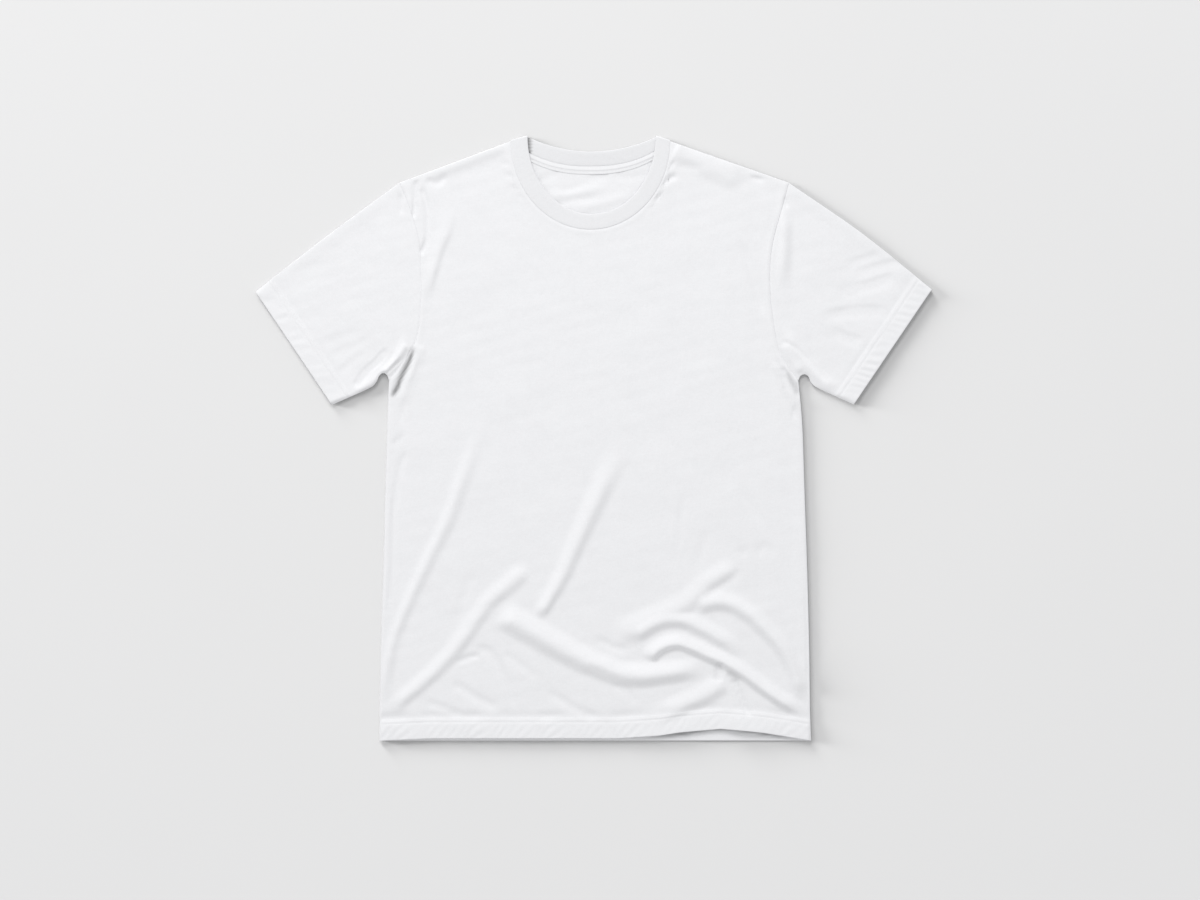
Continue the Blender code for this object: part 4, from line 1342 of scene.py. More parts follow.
def rib_tree() -> NodeTree:
    """Geometry Nodes tree: fine ribs across a band, raised along its normals.

    Returns:
        The tree. The band's points carry rib_turn, the share of the way round it, and
        rib_strength, from 0 where the ribs are hidden to 1.
    """
    group, board, given, result = new_group(
        "fine_ribs", "GeometryNodeTree",
        {"Geometry": "NodeSocketGeometry", "Count": 400, "Height": 0.1 * MM,
         "Finish": "NodeSocketMaterial"},
        {"Geometry": "NodeSocketGeometry"})
    turn = board.add("GeometryNodeInputNamedAttribute", {"Name": "rib_turn"}, data_type="FLOAT")
    strength = board.add("GeometryNodeInputNamedAttribute", {"Name": "rib_strength"},
                         data_type="FLOAT")
    ribs = board.math("MULTIPLY", turn.outputs["Attribute"], given["Count"])
    angle = board.math("MULTIPLY", ribs, 2 * math.pi)
    wave = board.math("MULTIPLY", board.math("COSINE", angle), given["Height"])
    rise = board.math("MULTIPLY", wave, strength.outputs["Attribute"])
    normal = board.add("GeometryNodeInputNormal")
    raised = board.add("GeometryNodeSetPosition", {
        "Geometry": given["Geometry"], "Offset": board.scaled(normal.outputs["Normal"], rise)})
    board.join(board.dressed(raised.outputs["Geometry"], given["Finish"]), result["Geometry"])
    return group


class Sewing:
    """Sewn rows: it turns paths on the cloth into rows of stitches."""

    def __init__(self, finish: Material) -> None:
        """Build the tree once and keep the thread's finish."""
        self.tree = stitch_tree()
        self.finish = finish

    def rows(self, name: str, paths: Sequence[Array], pitch: float, seed: int) -> Object:
        """Make rows of stitches.

        Args:
            name: name of the piece.
            paths: the points of each row, on the cloth.
            pitch: length of a stitch with the gap after it.
            seed: seed of the stitches' unevenness.

        Returns:
            One object with all the rows.
        """
        mesh = bpy.data.meshes.new(name)
        edges, first = [], 0
        for path in paths:
            edges += [(first + k, first + k + 1) for k in range(len(path) - 1)]
            first += len(path)
        mesh.from_pydata(np.concatenate(paths).tolist(), edges, [])
        thing = placed(name, mesh)
        applied(thing, self.tree, {"Pitch": pitch, "Thread": STITCH_THREAD, "Cover": 0.86,
                                   "Stray": 0.05, "Seed": seed, "Finish": self.finish})
        return thing


# ---- body panels


class PanelRow(NamedTuple):
    """One row of a panel's places, from its left edge to its right."""

    left: Array
    right: Array
    armhole: float  # share of the way up the armhole
    side: float  # distance up the side seam


CREASED = 175 * MM  # height up the side seam below which the body is creased
NEAR_EDGE = tuple(step * MM for step in (0.0, 0.3, 0.8, 1.5, 2.5, 4.0, 6.0, 8.5, 11.5, 15.0))
NEAR_SEAM = tuple(step * MM for step in (0.0, 0.3, 0.7, 1.2, 2.0, 3.2, 4.6, 5.6, 6.8, 8.5))


@dataclass
class BodyPanel:
    """A body panel as it lies: its rows and columns fill its side, hem and top edges.

    Attributes:
        outline: the garment's edges.
        lie: how the cloth lies.
        spacing: distance between columns, and with half as much again between plain rows.
        fine: distance between rows where the cloth is creased.
        neck: the panel's own neckline.
        near_hem: distances of the rows close to the hem.
        NODE: the node that the panel stands for.
    """

    outline: Outline
    lie: Lie
    spacing: float
    fine: float
    neck: NeckEdge
    near_hem: tuple[float, ...]

    NODE = ""

    def rows(self) -> list[PanelRow]:
        """The panel's rows from the hem to the shoulders."""
        sides, armholes = self.outline.sides, self.outline.armholes
        length = sides[Side.LEFT].length
        made = []
        near = (*self.near_hem, *np.arange(self.near_hem[-1], CREASED, self.fine)[1:])
        for distance in clustered(length, self.spacing * 1.5, near, both=False):
            share = distance / length
            made.append(PanelRow(sides[Side.LEFT].at(share), sides[Side.RIGHT].at(share),
                                 0.0, distance))
        height = armholes[Side.LEFT].length
        from_top = clustered(height, self.fine * 1.25, NEAR_SEAM, both=False)
        seam = np.array((SEAM_GAP / 2, 0.0))
        for distance in from_top[::-1][1:]:
            share = 1.0 - distance / height
            made.append(PanelRow(armholes[Side.LEFT].at(share) + seam,
                                 armholes[Side.RIGHT].at(share) - seam, share, length))
        return made

    def top_edge(self) -> tuple[Array, Array]:
        """The panel's top edge.

        Returns:
            Places along the shoulders and the neckline, and their shares across.
        """
        seam = np.array((SEAM_GAP / 2, 0.0))
        left_tip = self.outline.armholes[Side.LEFT].at(1.0) + seam
        right_tip = self.outline.armholes[Side.RIGHT].at(1.0) - seam
        ends = self.neck.at(np.array((-1.0, 1.0)))
        shoulder = ends[0][0] - left_tip[0]
        from_tip = clustered(shoulder, self.spacing, NEAR_EDGE, both=False)[:-1]
        by_neck = shoulder - np.array(NEAR_SEAM[:0:-1])
        steps = np.concatenate((from_tip[from_tip < by_neck[0] - self.spacing / 2], by_neck))
        part = steps / shoulder
        left = left_tip + (ends[0] - left_tip) * part[:, None]
        right = (right_tip + (ends[1] - right_tip) * part[:, None])[::-1]
        neck_steps = round((ends[1][0] - ends[0][0]) / (1.2 * self.fine))
        along = np.linspace(0.0, 1.0, neck_steps + 1)
        even = ends[0][0] + (ends[1][0] - ends[0][0]) * along
        x = np.concatenate((left[:, 0], even, right[:, 0]))
        places = np.concatenate((left, self.neck.at(2.0 * along - 1.0), right))
        return places, (x - left_tip[0]) / (right_tip[0] - left_tip[0])

    def places(self, drawn_up: Callable[[Array], Array]) -> tuple[Array, list[PanelRow]]:
        """The panel's grid of places.

        Args:
            drawn_up: how far the cloth at the hem is drawn up, for places across it.

        Returns:
            The grid, with x and y on its last axis, and its rows.
        """
        rows = self.rows()
        top, shares = self.top_edge()
        tips = top[0] + (top[-1] - top[0]) * shares[:, None]
        neck_share = (FRONT_SEAM.at(-1.0)[0] - top[0][0]) / (top[-1][0] - top[0][0])
        hold = np.minimum(1.0, np.minimum(shares, 1.0 - shares) / neck_share)
        grid = []
        for row in rows:
            straight = row.left + (row.right - row.left) * shares[:, None]
            place = straight + (top - tips) * row.armhole
            place[:, 0] -= (straight[:, 0] - tips[:, 0]) * hold * row.armhole ** 2
            place[:, 1] += drawn_up(place[:, 0]) * ease(1.0 - row.side / HEM_FADE)
            grid.append(place)
        return np.array(grid), rows

    def hem_distance(self, places: Array, rows: list[PanelRow]) -> Array:
        """Distance of the places from the hem's edge, up the panel."""
        side = np.array([row.side + row.armhole for row in rows])
        return np.broadcast_to(side[:, None], places.shape[:2])

    def shell(self, places: Array, upper: Array, lower: Array) -> Object:
        """Make the panel's object.

        Args:
            places: the panel's grid of places.
            upper: heights of its upper face.
            lower: heights of its lower face.

        Returns:
            A closed shell between the faces, which carries the painted shade of its crevices.
        """
        thing = sheet_shell(f"{self.NODE}_jersey", with_height(places, upper),
                            with_height(places, lower))
        # Painted shade on the points of both faces, by which the material darkens the colour.
        point_value(thing, "painted_crevice_shade", np.tile(self.lie.painted_shade(self.NODE, places).ravel(), 2))
        return thing


@dataclass
class FrontPanel(BodyPanel):
    """The front: deep neckline, the folds, and a hem that is drawn up off the back one."""

    spacing: float = 2.8 * MM
    fine: float = 2.2 * MM
    neck: NeckEdge = FRONT_SEAM.moved_out(SEAM_GAP)
    near_hem: tuple[float, ...] = tuple(step * MM for step in (
        0.0, 0.25, 0.6, 1.1, 2, 3.5, 6, 9, 12, 15, 17.5, 18.6, 19.4, 20.1, 20.8, 21.6, 22.4, 23.3,
        24.3, 25.2, 26.4))

    NODE = "front_panel"

    @staticmethod
    def hem_table(x: Array, column: str) -> Array:
        """A column of the hem's table, in metres, at places across the body."""
        xs = [row.x * MM for row in FRONT_HEM]
        return np.interp(x, xs, [getattr(row, column) * MM for row in FRONT_HEM])

    def faces(self, places: Array, hem: Array) -> tuple[Array, Array]:
        """Heights of the panel's outer and inner face.

        Args:
            places: places in the plane.
            hem: their distance from the hem's edge.

        Returns:
            The outer and the inner height at each place.
        """
        edge, rounded = self.outline.edge_distances(places)
        top = self.lie.upper_top(places, edge, rounded)
        top = top + self.hem_table(places[..., 0], "lifted") * ease(1.0 - hem / HEM_LIFT_FADE)
        relief = hem_relief(hem, places[..., 0], BODY_HEM)
        for side, route in self.outline.armholes.items():
            distance = route.nearest(places)[0]
            relief = relief + seam_relief(distance, SEAM_SINKS[side], ARMHOLE_ALLOWANCE)
        neck, along, _ = self.outline.front_neck.nearest(places)
        lift = band_lift(2.0 * along / self.outline.front_neck.length - 1.0)
        top = top + (lift - band_lift(0.0)) * bell(neck, BAND_LIFT_REACH)
        top = top + (lift + BAND_SEAM_FACE - top) * bell(neck, BAND_FLUSH_REACH)
        relief = relief + seam_relief(neck, NECK_SINK, NECK_ALLOWANCE)
        cloth = JERSEY + turned_in(hem)
        top = self.lie.clear(top + relief * ease(edge / RELIEF_INSET), cloth)
        low = EDGE_MIDDLE + EDGE_GAP
        share = quarter_round(rounded, UPPER_ROLL)
        outer = low + 2 * EDGE_GAP + (top - low - 2 * EDGE_GAP) * share
        inner = low + (top - cloth - low) * share
        return rounded_edge(outer, inner, hem)

    def build(self) -> tuple[Object, list[Array]]:
        """Make the panel.

        Returns:
            Its object, and the paths of the hem's two sewn rows.
        """
        places, rows = self.places(lambda x: self.hem_table(x, "drawn_up"))
        hem = self.hem_distance(places, rows)
        outer, inner = self.faces(places, hem)
        face = with_height(places, outer)
        sewn = [row_path(face, hem[:, 0], distance, ends=6) for distance in STITCH_ROWS]
        return self.shell(places, outer, inner), sewn


@dataclass
class BackPanel(BodyPanel):
    """The back: it lies on the floor and shows inside the neck and under the hem."""

    spacing: float = 5.5 * MM
    fine: float = 2.6 * MM
    neck: NeckEdge = BACK_SEAM.moved_out(SEAM_GAP)
    near_hem: tuple[float, ...] = tuple(
        step * MM for step in (0, 0.3, 0.8, 1.6, 3, 5, 8, 11, 14, 17, 20.6, 22.6))

    NODE = "back_panel"

    def faces(self, places: Array, hem: Array) -> tuple[Array, Array]:
        """Heights of the panel's two faces.

        Args:
            places: places in the plane.
            hem: their distance from the hem's edge.

        Returns:
            The height of the inner face, which is up, and of the face on the floor.
        """
        edge = nearest_of(self.outline.closed, places)
        share = quarter_round(edge, LOWER_ROLL)
        high = EDGE_MIDDLE - EDGE_GAP
        soft = self.lie.crease_height(self.lie.wrinkles, places)
        rest = WALL + np.maximum(soft, JERSEY / 2 - WALL)
        upper = high + (rest + turned_in(hem) - high) * share
        lower = (high - 2 * EDGE_GAP) * (1.0 - share)
        return rounded_edge(upper, lower, hem)

    def build(self) -> Object:
        """Make the panel's object."""
        places, rows = self.places(np.zeros_like)
        return self.shell(places, *self.faces(places, self.hem_distance(places, rows)))


# ---- sleeves


@dataclass
class Sleeve:
    """A sleeve: a flattened tube, sewn into its armhole, with its cuff hem turned in.

    Attributes:
        side: which sleeve it is.
        outline: the garment's edges.
        lie: how the cloth lies.
        spacing: distance between sections, and between points across one.
        near_cuff: distances of the sections close to the cuff's edge.
        least_roll: least share of the way round its rounded edges that the inside keeps.
        least_reach: how far in from the section's ends it keeps that.
        drawn: how far those ends are drawn in, in thicknesses of the cloth.
        drawn_share: share of each half of a section over which they are.
    """

    side: Side
    outline: Outline
    lie: Lie
    spacing: float = 2.6 * MM
    near_cuff: tuple[float, ...] = tuple(step * MM for step in (
        0.0, 0.25, 0.6, 1.1, 2, 4, 7, 10, 13, 16, 18, 19.3, 20.1, 20.9, 21.8, 22.8, 24.0, 25.4))
    least_roll: float = 0.25
    least_reach: float = 4 * MM
    drawn: float = 1.3
    drawn_share: float = 0.2

    @property
    def name(self) -> str:
        """Name of the sleeve's piece."""
        return f"{self.side.word}_sleeve_jersey"

    def shares(self) -> Array:
        """Shares across the sleeve, from its underarm to its fold."""
        length = self.outline.armholes[self.side].length
        return clustered(length, self.spacing, NEAR_EDGE) / length

    def plan(self, shares: Array) -> tuple[Array, Array]:
        """Places of the sleeve's sections.

        Args:
            shares: shares across the sleeve.

        Returns:
            The grid of places, from the armhole to the cuff, and each section's distance
            from the cuff's edge.
        """
        fold, under = self.outline.sleeve_folds[self.side], self.outline.underarms[self.side]
        armhole = self.outline.armholes[self.side]
        near_cuff = np.array(self.near_cuff)
        body = fold.length - near_cuff[-1]
        from_seam = clustered(body, self.spacing, NEAR_SEAM, both=False)[:-1]
        line = armhole.at(shares)
        chord = armhole.at(0.0) + (armhole.at(1.0) - armhole.at(0.0)) * shares[:, None]
        seam = np.array((SEAM_GAP / 2 * self.side.value, 0.0))
        sections = []
        for distance in from_seam:
            share = distance / body
            fold_place = fold.at(share * (1.0 - near_cuff[-1] / fold.length))
            under_place = under.at(share ** 1.4 * (1.0 - near_cuff[-1] / under.length))
            straight = under_place + (fold_place - under_place) * shares[:, None]
            sections.append(straight + (line - chord) * (1.0 - share) ** 1.5 + seam)
        for distance in near_cuff[::-1]:
            fold_place = fold.at(1.0 - distance / fold.length)
            under_place = under.at(1.0 - distance / under.length)
            sections.append(under_place + (fold_place - under_place) * shares[:, None] + seam)
        from_cuff = np.concatenate((fold.length - from_seam, near_cuff[::-1]))
        return np.array(sections), from_cuff

    def heights(self, places: Array, from_cuff: Array, skin: float) -> tuple[Array, Array]:
        """Heights of the sleeve's upper and lower side.

        Args:
            places: places in the plane.
            from_cuff: each section's distance from the cuff's edge.
            skin: how far inside the outer surface they lie.

        Returns:
            The upper and the lower height at each place.
        """
        edge, rounded = self.outline.edge_distances(places)
        cuff = np.broadcast_to(from_cuff[:, None], places.shape[:2])
        span = np.linalg.norm(places[:, -1] - places[:, 0], axis=-1)[:, None]
        share = np.linspace(0.0, 1.0, places.shape[1])
        from_end = np.minimum(share, 1.0 - share) * span
        top = self.lie.upper_top(places, edge, rounded)
        across = (places * (places[-1, -1] - places[-1, 0])).sum(-1) / span[-1]
        relief = hem_relief(cuff, across, CUFF_HEMS[self.side])
        distance = self.outline.armholes[self.side].nearest(places)[0]
        relief = relief + seam_relief(distance, SEAM_SINKS[self.side], 0.0)
        top = self.lie.clear(top + relief * ease(edge / RELIEF_INSET), JERSEY + turned_in(cuff))
        least = self.least_roll * np.minimum(from_end, self.least_reach)
        over, under = (quarter_round(np.maximum(distance - skin, least), roll)
                       for distance, roll in ((rounded, UPPER_ROLL), (edge, LOWER_ROLL)))
        upper = EDGE_MIDDLE + (top - skin - EDGE_MIDDLE) * over
        lower = EDGE_MIDDLE + (skin - EDGE_MIDDLE) * under
        return upper, lower

    def build(self) -> tuple[Object, list[Array]]:
        """Make the sleeve.

        Returns:
            Its object, and the paths of the cuff's two sewn rows.
        """
        places, from_cuff = self.plan(self.shares())
        upper, lower = self.heights(places, from_cuff, 0.0)
        skin = JERSEY + turned_in(from_cuff)
        drawn_in = self._drawn_in(places, skin)
        outer, inner = rounded_edge(
            self._ring(places, upper, lower),
            self._ring(drawn_in, *self._inner_heights(drawn_in, from_cuff, skin)),
            from_cuff[:, None, None])
        thing = tube_shell(self.name, outer, inner, self._flat(outer))
        face = with_height(places, upper)
        return thing, [row_path(face, from_cuff, distance, ends=5) for distance in STITCH_ROWS]

    def _inner_heights(self, places: Array, from_cuff: Array, skin: Array) -> tuple[Array, Array]:
        """Heights of the inside, which lies a cloth's thickness in from the outside.

        Args:
            places: places of the inside in the plane.
            from_cuff: each section's distance from the cuff's edge.
            skin: thickness of the cloth at each section.

        Returns:
            The upper and the lower height at each place.
        """
        single = self.heights(places, from_cuff, JERSEY)
        double = self.heights(places, from_cuff, 2 * JERSEY)
        mix = (skin[:, None] / JERSEY) - 1.0
        return tuple(a + (b - a) * mix for a, b in zip(single, double))

    def _drawn_in(self, places: Array, skin: Array) -> Array:
        """Draw each section's ends in by the cloth's thickness.

        Args:
            places: places of the outside in the plane.
            skin: thickness of the cloth at each section.

        Returns:
            The places of the inside.
        """
        ends = places[:, -1] - places[:, 0]
        run = ends / np.linalg.norm(ends, axis=1)[:, None]
        share = np.linspace(1.0, -1.0, places.shape[1])
        inside = 1.0 - self.drawn_share
        pull = np.sign(share) * np.maximum(0.0, np.abs(share) - inside) / self.drawn_share
        return places + run[:, None, :] * (pull[None, :] * self.drawn * skin[:, None])[..., None]

    @staticmethod
    def _ring(places: Array, upper: Array, lower: Array) -> Array:
        """Rings of points: over the top from the underarm to the fold, and back below."""
        below = with_height(places, lower)[:, -2:0:-1]
        return np.concatenate((with_height(places, upper), below), 1)

    def _flat(self, rings: Array) -> Array:
        """Each point's place on the flat cloth, whose wales run along the sleeve."""
        fold = self.outline.sleeve_folds[self.side]
        run = fold.at(1.0) - fold.at(0.0)
        run = run / np.linalg.norm(run)
        plan = rings[..., :2].reshape(-1, 2)
        return np.stack((plan @ np.array((-run[1], run[0])), plan @ run), -1)


# ---- neck


@dataclass
class Neckband:
    """The neckband: a strip of fine rib folded double, in a ring round the neck.

    Attributes:
        stations: sections all round the band.
        across: points across each layer of a section.
        width: width of the folded strip.
        slit: half the gap between its two layers.
        spare: how far its faces stand off the rib's own thickness.
        closed: share of the width at the fold that has no slit.
        roll: share of the width over which each edge rounds.
        pinch: share by which the band thins at its seam.
        swell: share by which it is thicker above that.
    """

    stations: int = 1980
    across: int = 11
    width: float = 20 * MM
    slit: float = 0.08 * MM
    spare: float = 0.02 * MM
    closed: float = 0.045
    roll: float = 0.07
    pinch: float = 0.30
    swell: float = 0.10

    NAME = "neckband_rib"

    def layer_profile(self) -> tuple[Array, Array]:
        """Half a section's outline: shares across the band, and the swell of its face there."""
        inset = np.concatenate(([0.0, 0.12, 0.35, 0.7], np.linspace(1.2, 18.0, self.across - 6),
                                [19.0, 19.6, 20.0])) / 20.0
        thinned = 1.0 - self.pinch * ease((inset - 1.0 + self.roll) / self.roll)
        swell = quarter_round(inset, self.roll) * thinned
        return inset, swell * (1.0 + self.swell * bell(inset - 0.80, 0.12))

    def ring(self) -> tuple[Array, Array, Array, Array]:
        """The ring of the band, with evenly spaced stations.

        Returns:
            For each station its point on the free edge, its point on the seam edge, its
            upward direction and its share of the way round.
        """
        front = np.linspace(-1.0, 1.0, 400)[1:-1]
        back = np.linspace(1.0, -1.0, 300)[1:-1]
        angles = np.linspace(0.0, math.pi, 24)
        lift, low = band_lift(front), np.full(len(back), BAND_BACK_HEIGHT)
        tilted = low + BAND_BACK_TILT * np.cos(back * math.pi / 2)
        stretches = (
            (with_height(FRONT_FREE.at(front), lift), with_height(FRONT_SEAM.at(front), lift),
             np.tile((0.0, 0.0, 1.0), (len(front), 1))),
            self._turn(Side.RIGHT, angles),
            (with_height(BACK_FREE.at(back), tilted), with_height(BACK_SEAM.at(back), low),
             np.tile((0.0, 0.0, -1.0), (len(back), 1))),
            self._turn(Side.LEFT, angles[::-1]),
        )
        parts = [np.concatenate(part) for part in zip(*stretches)]
        middle = (parts[0] + parts[1]) / 2
        steps = np.linalg.norm(np.roll(middle, -1, axis=0) - middle, axis=1)
        along = np.concatenate(([0.0], np.cumsum(steps)))
        share = np.arange(self.stations) / self.stations
        free, seam, up = (
            np.stack([np.interp(share * along[-1], along, np.append(column, column[0]))
                      for column in part.T], -1) for part in parts)
        return free, seam, up / np.linalg.norm(up, axis=1)[:, None], share

    @staticmethod
    def _turn(end: Side, angles: Array) -> tuple[Array, Array, Array]:
        """The stretch where the band turns over a shoulder.

        Args:
            end: which shoulder.
            angles: how far it has turned at each of its stations.

        Returns:
            Their points on the free edge and on the seam edge, and their upward directions.
        """
        inner, outer = FRONT_FREE.at(end.value), FRONT_SEAM.at(end.value)
        run = (outer - inner) / np.linalg.norm(outer - inner)
        out = np.array((-run[1], run[0])) * np.sign(run[0])
        side, over = np.sin(angles)[:, None], np.cos(angles)
        radius = BAND_TURN_RADII[end]
        height = BAND_BACK_HEIGHT + radius * (1.0 + over)
        free, seam = (with_height(edge + out * radius * reach * side, height)
                      for edge, reach in ((inner, 0.6), (outer, 0.1)))
        return free, seam, with_height(out * side, over)

    def build(self, ribs: NodeTree, finish: Material,
              lie: Lie) -> Object:
        """Make the band.

        Args:
            ribs: the tree that raises the ribs.
            finish: the band's material.
            lie: how the cloth lies, which also gives the band's painted shadow.

        Returns:
            The band's object.
        """
        free, seam, up, share = self.ring()
        across, swell = self.layer_profile()
        half = BAND_CLOTH / 2 * swell + self.spare
        slit = self.slit * np.minimum(1.0, 12 * across)
        inset = np.maximum(across, self.closed)
        upper, lower, upper_in, lower_in = (
            self._layer(free, seam, up, *at)
            for at in ((across, half), (across, -half), (inset, slit), (inset, -slit)))
        section = np.concatenate((upper[:, ::-1], lower[:, 1:], lower_in[:, :0:-1], upper_in), 1)
        rings, points = section.shape[:2]
        quads = grid_quads(rings + 1, points, 0, False, True) % (rings * points)
        closed = np.concatenate((section[:, 0], section[:1, 0]))
        length = np.linalg.norm(np.diff(closed, axis=0), axis=1).sum()
        outer = np.concatenate((-across[::-1], across[1:], across[:0:-1], -across)) * self.width
        flat = np.stack(np.broadcast_arrays(share[:, None] * length, outer), -1).reshape(-1, 2)
        thing = turned_out(mesh_object(self.NAME, section.reshape(-1, 3), quads, flat))
        strength = np.concatenate((swell[::-1], swell[1:], 0 * across[1:], 0 * across))
        strength[0] = strength[2 * len(across) - 2] = 0.0
        point_value(thing, "rib_turn", np.repeat(share, points))
        ribbed = np.where(strength > 0.97, np.minimum(strength, 1.0), 0.0)
        point_value(thing, "rib_strength", np.tile(ribbed, rings))
        # Painted shadow in the wedge at the left shoulder, on the back of the band and its turns
        # only.
        band_painted_shade = lie.painted_shade("neckband", section[..., :2]) * (up[:, 2:] < 0.2)
        point_value(thing, "painted_crevice_shade", band_painted_shade)
        applied(thing, ribs, {"Count": RIB_COUNT, "Height": RIB_HEIGHT, "Finish": finish})
        return thing

    @staticmethod
    def _layer(free: Array, seam: Array, up: Array, across: Array, rise: Array) -> Array:
        """One face of a layer of the band.

        Args:
            free: the stations' points on the free edge.
            seam: the same on the seam edge.
            up: their upward directions.
            across: shares across the band.
            rise: the face's height off the band's middle at those.

        Returns:
            Its points, with a row for each station.
        """
        place = free[:, None, :] + (seam - free)[:, None, :] * across[None, :, None]
        return place + up[:, None, :] * rise[None, :, None]


@dataclass
class NeckTape:
    """The narrow tape that covers the neckband seam on the inside of the back.

    Attributes:
        columns: points along the tape.
        places: distances of the rows of points from its upper edge, in mm.
        edge_height: height of its face at its upper edge.
        climb: how much higher it climbs over the seam.
        climb_run: run over which it does so.
        drop: how far it drops past the seam.
        drop_run: run over which it does so.
        row_sink: how deep each sewn row sinks into it.
        row_reach: how far from a row it does so.
        roll: run over which its lower edge rounds down.
    """

    columns: int = 180
    places: tuple[float, ...] = (
        0, .3, .8, 1.5, 2.3, 3.1, 3.8, 4.3, 4.7, 5.1, 5.5, 5.9, 6.3, 6.7, 7.1, 7.6, 8.2, 8.7, 9.1,
        9.5, 9.7, 9.9, 10)
    edge_height: float = 0.55 * MM
    climb: float = 0.55 * MM
    climb_run: float = 4.3 * MM
    drop: float = 0.45 * MM
    drop_run: float = 1.6 * MM
    row_sink: float = 0.16 * MM
    row_reach: float = 0.6 * MM
    roll: float = 0.7 * MM

    NAME = "neck_tape_cotton"

    def build(self) -> tuple[Object, list[Array]]:
        """Make the tape.

        Returns:
            Its object, and the paths of its two sewn rows.
        """
        edge = BACK_SEAM.moved_out(3 * SEAM_GAP)
        ends = math.asin(TAPE_REACH) / (math.pi / 2)
        upper_edge = edge.at(np.linspace(-ends, ends, self.columns))
        width = np.array(self.places) * MM
        plan = np.broadcast_to(upper_edge, (len(width), self.columns, 2)).copy()
        plan[..., 1] -= width[:, None]
        rise = self._profile(width)
        under = np.maximum(0.0, rise - 0.75 * TAPE_CLOTH)
        top, bottom = (
            with_height(plan, np.broadcast_to(WALL + SEAM_GAP + height[:, None], plan.shape[:2]))
            for height in (rise, under))
        thing = sheet_shell(self.NAME, top[::-1], bottom[::-1])
        paths = []
        for distance in TAPE_ROWS:
            path = upper_edge[3:-3] - np.array((0.0, distance))
            height = WALL + SEAM_GAP + np.interp(distance, width, rise) + 0.3 * STITCH_THREAD
            paths.append(with_height(path, np.full(len(path), height)))
        return thing, paths

    def _profile(self, width: Array) -> Array:
        """Height of the tape's face: it climbs over the seam, drops, then lies flat."""
        climb = self.climb * np.clip(width / self.climb_run, 0.0, 1.0) ** 0.8
        drop = self.drop * ease((width - self.climb_run - 0.1 * MM) / self.drop_run)
        sunk = sum(self.row_sink * bell(width - row, self.row_reach) for row in TAPE_ROWS)
        height = self.edge_height + climb - drop - sunk
        return height * quarter_round(TAPE_WIDTH - width, self.roll)


# ---- studio


class Stand(NamedTuple):
    """Where a lamp stands, seen from the garment's middle."""

    azimuth: float  # degrees from +X towards +Y
    elevation: float  # degrees above the floor
    distance: float  # metres


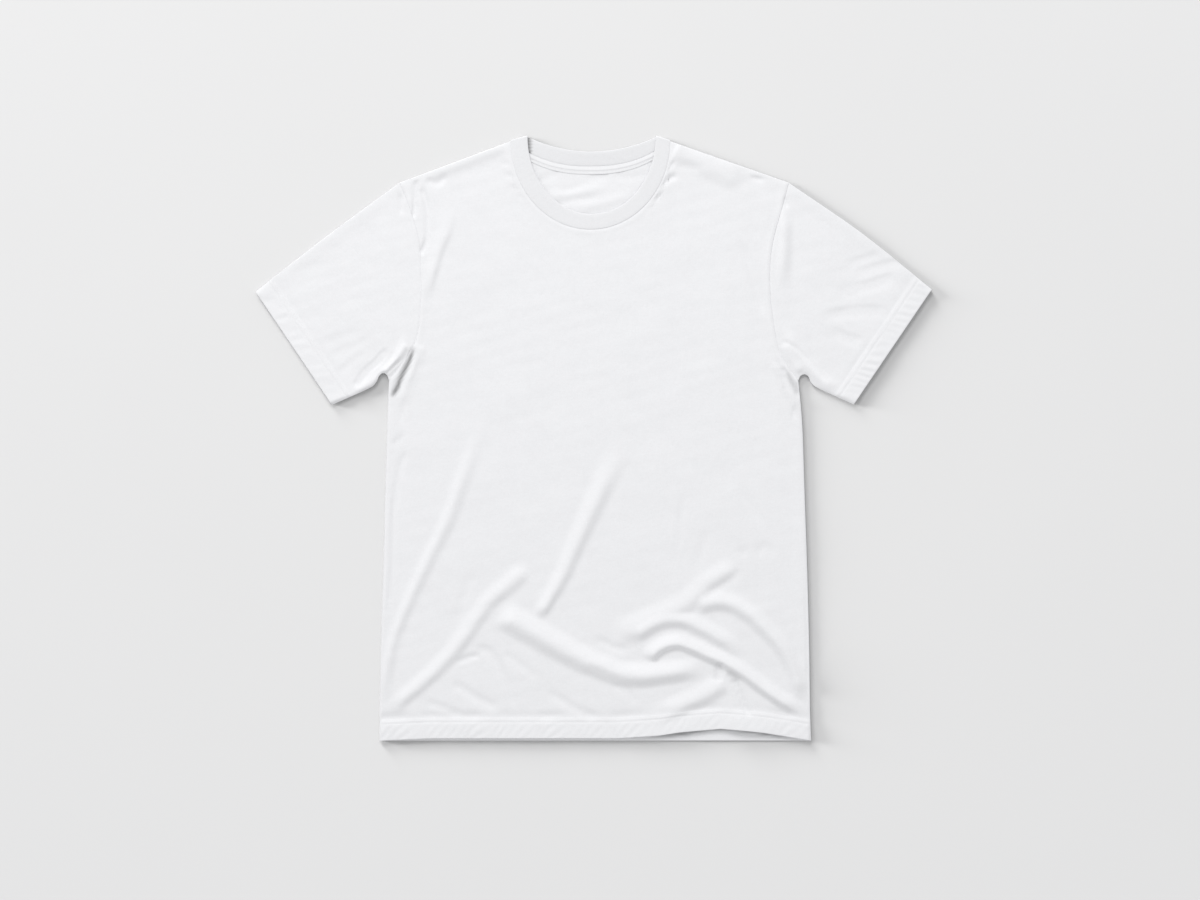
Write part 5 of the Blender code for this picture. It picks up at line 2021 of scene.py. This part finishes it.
@dataclass(frozen=True)
class Studio:
    """Pale floor, soft light from the upper left, and a camera straight above.

    Attributes:
        view_centre: the place under the camera, in metres.
        view_width: width of floor that the camera sees, in metres.
        lens: focal length, in mm.
        sensor: sensor width, in mm.
        floor_radius: radius of the floor, in metres.
        floor_gap: how far the floor lies under the cloth, in metres.
        sky_colour: colour of the even light from all round.
        sky_strength: strength of that light.
    """

    view_centre: Place = (0.0077, -0.0146)
    view_width: float = 1.4642
    lens: float = 85.0
    sensor: float = 36.0
    floor_radius: float = 9.0
    floor_gap: float = 0.2 * MM
    sky_colour: tuple[float, float, float] = (0.985, 0.99, 1.0)
    sky_strength: float = 0.708

    def build(self) -> None:
        """Make the floor, the light and the camera."""
        floor = self._floor()
        self._sky()
        self._window(Stand(107.0, 40.0, 5.0), size=2.0, power=116.0)
        self._grazing(Stand(120.0, 15.5, 4.0), floor, strength=3.1, spread=18.0)
        self._grazing(Stand(166.0, 9.5, 4.0), floor, strength=6.0, spread=16.0)
        self._camera()
        view = bpy.context.scene.view_settings
        view.view_transform, view.look = "Standard", "None"
        view.exposure, view.gamma = 0.0, 1.0

    def _floor(self) -> Object:
        """A wide round floor just under the cloth."""
        mesh = bpy.data.meshes.new("studio_floor")
        turn = np.linspace(0.0, 2 * math.pi, 65)[:-1]
        rim = with_height(np.stack((np.cos(turn), np.sin(turn)), -1) * self.floor_radius,
                          np.full(len(turn), -self.floor_gap))
        mesh.from_pydata(rim.tolist(), [], [list(range(len(rim)))])
        mesh.materials.append(FloorFinish().material())
        floor = placed("studio_floor", mesh)
        return floor

    def _sky(self) -> None:
        """Even white light from all round."""
        world = bpy.data.worlds.new("studio_world")
        world.use_nodes = True
        background = world.node_tree.nodes["Background"]
        background.inputs["Color"].default_value = (*self.sky_colour, 1.0)
        background.inputs["Strength"].default_value = self.sky_strength
        bpy.context.scene.world = world

    @staticmethod
    def _lamp(light: Light, stand: Stand) -> Object:
        """Put a light on its stand and turn it to face the garment's middle.

        Args:
            light: the light.
            stand: where it stands.

        Returns:
            Its object.
        """
        lamp = placed(light.name, light)
        turn, rise = math.radians(stand.azimuth), math.radians(stand.elevation)
        run = stand.distance * math.cos(rise)
        lamp.location = (run * math.cos(turn), run * math.sin(turn),
                         stand.distance * math.sin(rise))
        lamp.rotation_euler = (math.pi / 2 - rise, 0.0, turn + math.pi / 2)
        return lamp

    def _window(self, stand: Stand, size: float, power: float) -> None:
        """The soft light that models the folds.

        Args:
            stand: where it stands.
            size: width of its disk, in metres.
            power: its power, in watts.
        """
        light = bpy.data.lights.new("window_light", "AREA")
        light.shape, light.size, light.energy = "DISK", size, power
        self._lamp(light, stand)

    def _grazing(self, stand: Stand, floor: Object, strength: float, spread: float) -> None:
        """Low soft light that falls on the floor only and gives the garment its wide shadow.

        Args:
            stand: where it stands.
            floor: the floor.
            strength: its strength, in watts a square metre.
            spread: angle that it fills, in degrees.
        """
        light = bpy.data.lights.new("grazing_light", "SUN")
        light.energy, light.angle = strength, math.radians(spread)
        lit = bpy.data.collections.new("lit_by_grazing_light")
        lit.objects.link(floor)
        self._lamp(light, stand).light_linking.receiver_collection = lit

    def _camera(self) -> None:
        """The camera, which looks straight down."""
        data = bpy.data.cameras.new("overhead_camera")
        data.lens, data.sensor_width, data.clip_end = self.lens, self.sensor, 50.0
        camera = placed("overhead_camera", data)
        camera.location = (*self.view_centre, self.view_width * self.lens / self.sensor)
        bpy.context.scene.camera = camera


# ---- the garment


class TShirt:
    """The whole garment: it builds its pieces and hides the imported part that each replaces."""

    def __init__(self) -> None:
        """Lay out the outline and prepare the finishes."""
        self.outline = Outline()
        self.lie = Lie(self.outline)
        self.finishes = Finishes()
        self.sewing = Sewing(self.finishes.thread)

    def dress(self, thing: Object, node: Optional[str],
              finish: Optional[Material]) -> None:
        """Give a piece its finish and tie it to the frame.

        Args:
            thing: the piece.
            node: the node that it replaces, if it does.
            finish: its material, unless it has one.
        """
        if finish is not None:
            thing.data.materials.clear()
            thing.data.materials.append(finish)
        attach(thing, "root")
        if node is not None:
            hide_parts(node)
        log.info("%s: %d faces", thing.name, len(thing.data.polygons))

    def build(self) -> None:
        """Build every piece, from the floor up."""
        jersey = self.finishes.jersey
        back = BackPanel(self.outline, self.lie).build()
        self.dress(back, "back_panel", jersey)
        surface_area(back) / 2
        front, paths = FrontPanel(self.outline, self.lie).build()
        self.dress(front, "front_panel", jersey)
        hem = self.sewing.rows("hem_stitches", paths, STITCH_LENGTH, seed=21)
        self.dress(hem, None, None)
        surface_area(front) / 2
        for side in Side:
            sleeve, paths = Sleeve(side, self.outline, self.lie).build()
            self.dress(sleeve, f"{side.word}_sleeve", jersey)
            cuff = self.sewing.rows(f"{side.word}_cuff_stitches", paths, STITCH_LENGTH,
                                    seed=31 + side.value)
            self.dress(cuff, None, None)
            surface_area(sleeve) / 2
        band = Neckband().build(rib_tree(), self.finishes.rib, self.lie)
        self.dress(band, "neckband", None)
        surface_area(band) / 2
        tape, paths = NeckTape().build()
        self.dress(tape, "neck_tape", self.finishes.tape)
        rows = self.sewing.rows("neck_tape_stitches", paths, TAPE_STITCH_LENGTH, seed=41)
        self.dress(rows, None, None)
        surface_area(tape) / 2


def main() -> None:
    """Build the garment and the studio."""
    logging.basicConfig(level=logging.INFO, format="%(name)s: %(message)s")
    TShirt().build()
    Studio().build()


if __name__ == "__main__":
    main()
